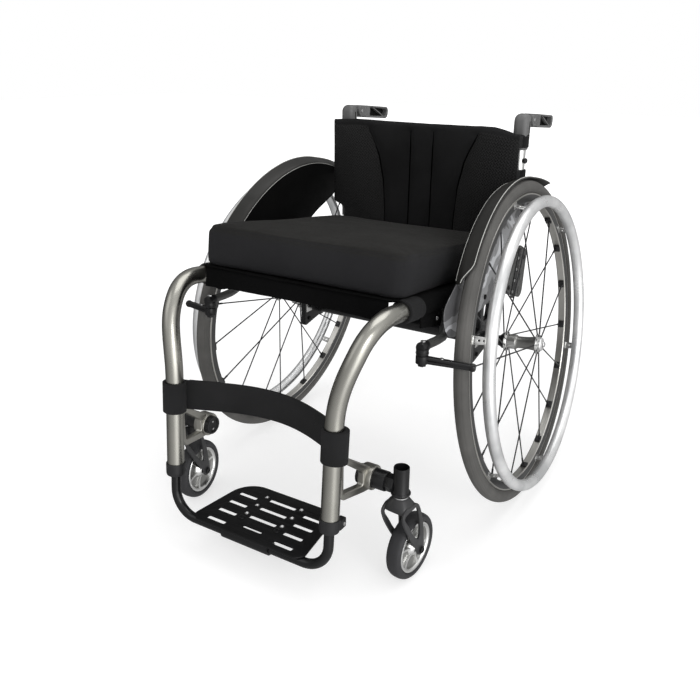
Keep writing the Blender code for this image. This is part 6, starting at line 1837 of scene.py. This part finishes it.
def make_stage():
    yaw, pitch, roll = (radians(turn) for turn in CAMERA_TURN)
    forward = Vector((sin(yaw) * cos(pitch), cos(yaw) * cos(pitch), -sin(pitch)))
    right = Vector((cos(yaw), -sin(yaw), 0.0))
    up = right.cross(forward)
    c, s = cos(roll), sin(roll)
    side, top = c * right + s * up, c * up - s * right
    data = bpy.data.cameras.new("Camera")
    data.sensor_width = 36.0
    data.lens = data.sensor_width * FOCAL / PHOTO_SIZE
    data.shift_x = 0.5 - CENTRE[0] / PHOTO_SIZE
    data.shift_y = CENTRE[1] / PHOTO_SIZE - 0.5
    data.clip_end = 50.0
    camera = bpy.data.objects.new("Camera", data)
    turn = Matrix((side, top, -forward)).transposed().to_4x4()
    camera.matrix_world = TO_MODEL @ shift(CAMERA_EYE) @ turn
    bpy.context.scene.collection.objects.link(camera)
    bpy.context.scene.camera = camera

    bm = bmesh.new()
    bmesh.ops.create_grid(bm, x_segments=1, y_segments=1, size=12.0)
    floor = bpy.data.objects.new("floor", finish_mesh(bm))
    bpy.context.scene.collection.objects.link(floor)
    look = Look("floor_white", (0.5, 0.5, 0.5), 0.9, Specular_IOR_Level=0.0, Emission_Color=(1.0, 1.0, 1.0, 1.0))
    reach = look.node("VectorMath", {0: look.node("TexCoord", out="Object")}, out="Value", operation="LENGTH")
    look.fill(look.shader, {"Emission Strength": look.span(reach, FLOOR_GLOW, 1.0, 0.8, 3.0)})
    floor.data.materials.append(look.made)
    floor.visible_glossy = False

    make_studio()
    add_light("key", (2.3, -1.5, 1.5), (0.0, -0.1, 0.35), 0.8, KEY_POWER)
    add_light("fill", (-1.6, -2.2, 2.4), (0.0, 0.0, 0.35), 2.0, FILL_POWER)
    add_light("top", (0.3, 0.4, 2.9), (0.0, 0.0, 0.3), 2.2, TOP_POWER)


def make_studio():
    """Soft room light: darker on the sitter's right, with a tall bright panel ahead of the left wheel."""
    world = bpy.data.worlds.new("Studio")
    world.use_nodes = True
    tree = world.node_tree
    nodes, links = tree.nodes, tree.links

    def maths(operation, *values):
        made = nodes.new("ShaderNodeMath")
        made.operation = operation
        for socket, value in zip(made.inputs, values):
            if isinstance(value, bpy.types.NodeSocket):
                links.new(value, socket)
            else:
                socket.default_value = value
        return made.outputs[0]

    way = nodes.new("ShaderNodeSeparateXYZ")
    links.new(nodes.new("ShaderNodeTexCoord").outputs["Generated"], way.inputs[0])
    towards = maths(
        "ADD", maths("MULTIPLY", way.outputs[0], PANEL_WAY.x), maths("MULTIPLY", way.outputs[1], PANEL_WAY.y),
    )
    share = maths("MULTIPLY_ADD", towards, 0.5, 0.5)
    side = maths("MULTIPLY_ADD", share, ROOM_BRIGHT - ROOM_DARK, ROOM_DARK)
    panel = maths("MULTIPLY", maths("POWER", share, PANEL_TIGHTNESS), PANEL_BRIGHT)
    above = maths("MULTIPLY", maths("MAXIMUM", way.outputs[2], 0.0), ROOM_TOP)
    light = maths("ADD", maths("ADD", side, panel), above)
    seen = nodes.new("ShaderNodeLightPath").outputs["Is Camera Ray"]
    strength = maths("ADD", maths("MULTIPLY", light, maths("SUBTRACT", 1.0, seen)), seen)
    links.new(strength, nodes["Background"].inputs["Strength"])
    nodes["Background"].inputs["Color"].default_value = (1.0, 1.0, 1.0, 1.0)
    bpy.context.scene.world = world


def add_light(name, place, target, size, power):
    data = bpy.data.lights.new(name, "AREA")
    data.size = size
    data.energy = power
    lamp = bpy.data.objects.new(name, data)
    bpy.context.scene.collection.objects.link(lamp)
    lamp.location = place
    lamp.rotation_euler = (Vector(target) - Vector(place)).to_track_quat("-Z", "Y").to_euler()


bpy.context.scene.view_settings.view_transform = "Standard"
make_stage()
dress_cad_nodes()
for make in (
    make_cushion, make_sling, make_back, make_strap, make_hoop, make_footplate, make_back_frame, make_camber_tube,
):
    make()
for side_name, side_sign in SIDES.items():
    for make in (
        make_caster_bracket, make_caster_housing, make_caster_fork, make_caster_wheel, make_collar, make_post,
        make_back_bracket, make_handle, make_hanger, make_sleeve, make_brake, make_tyre, make_rim, make_hub,
        make_handrim, make_release, make_frame_tube, make_rail_sleeve, make_guard,
    ):
        make(side_name, side_sign)
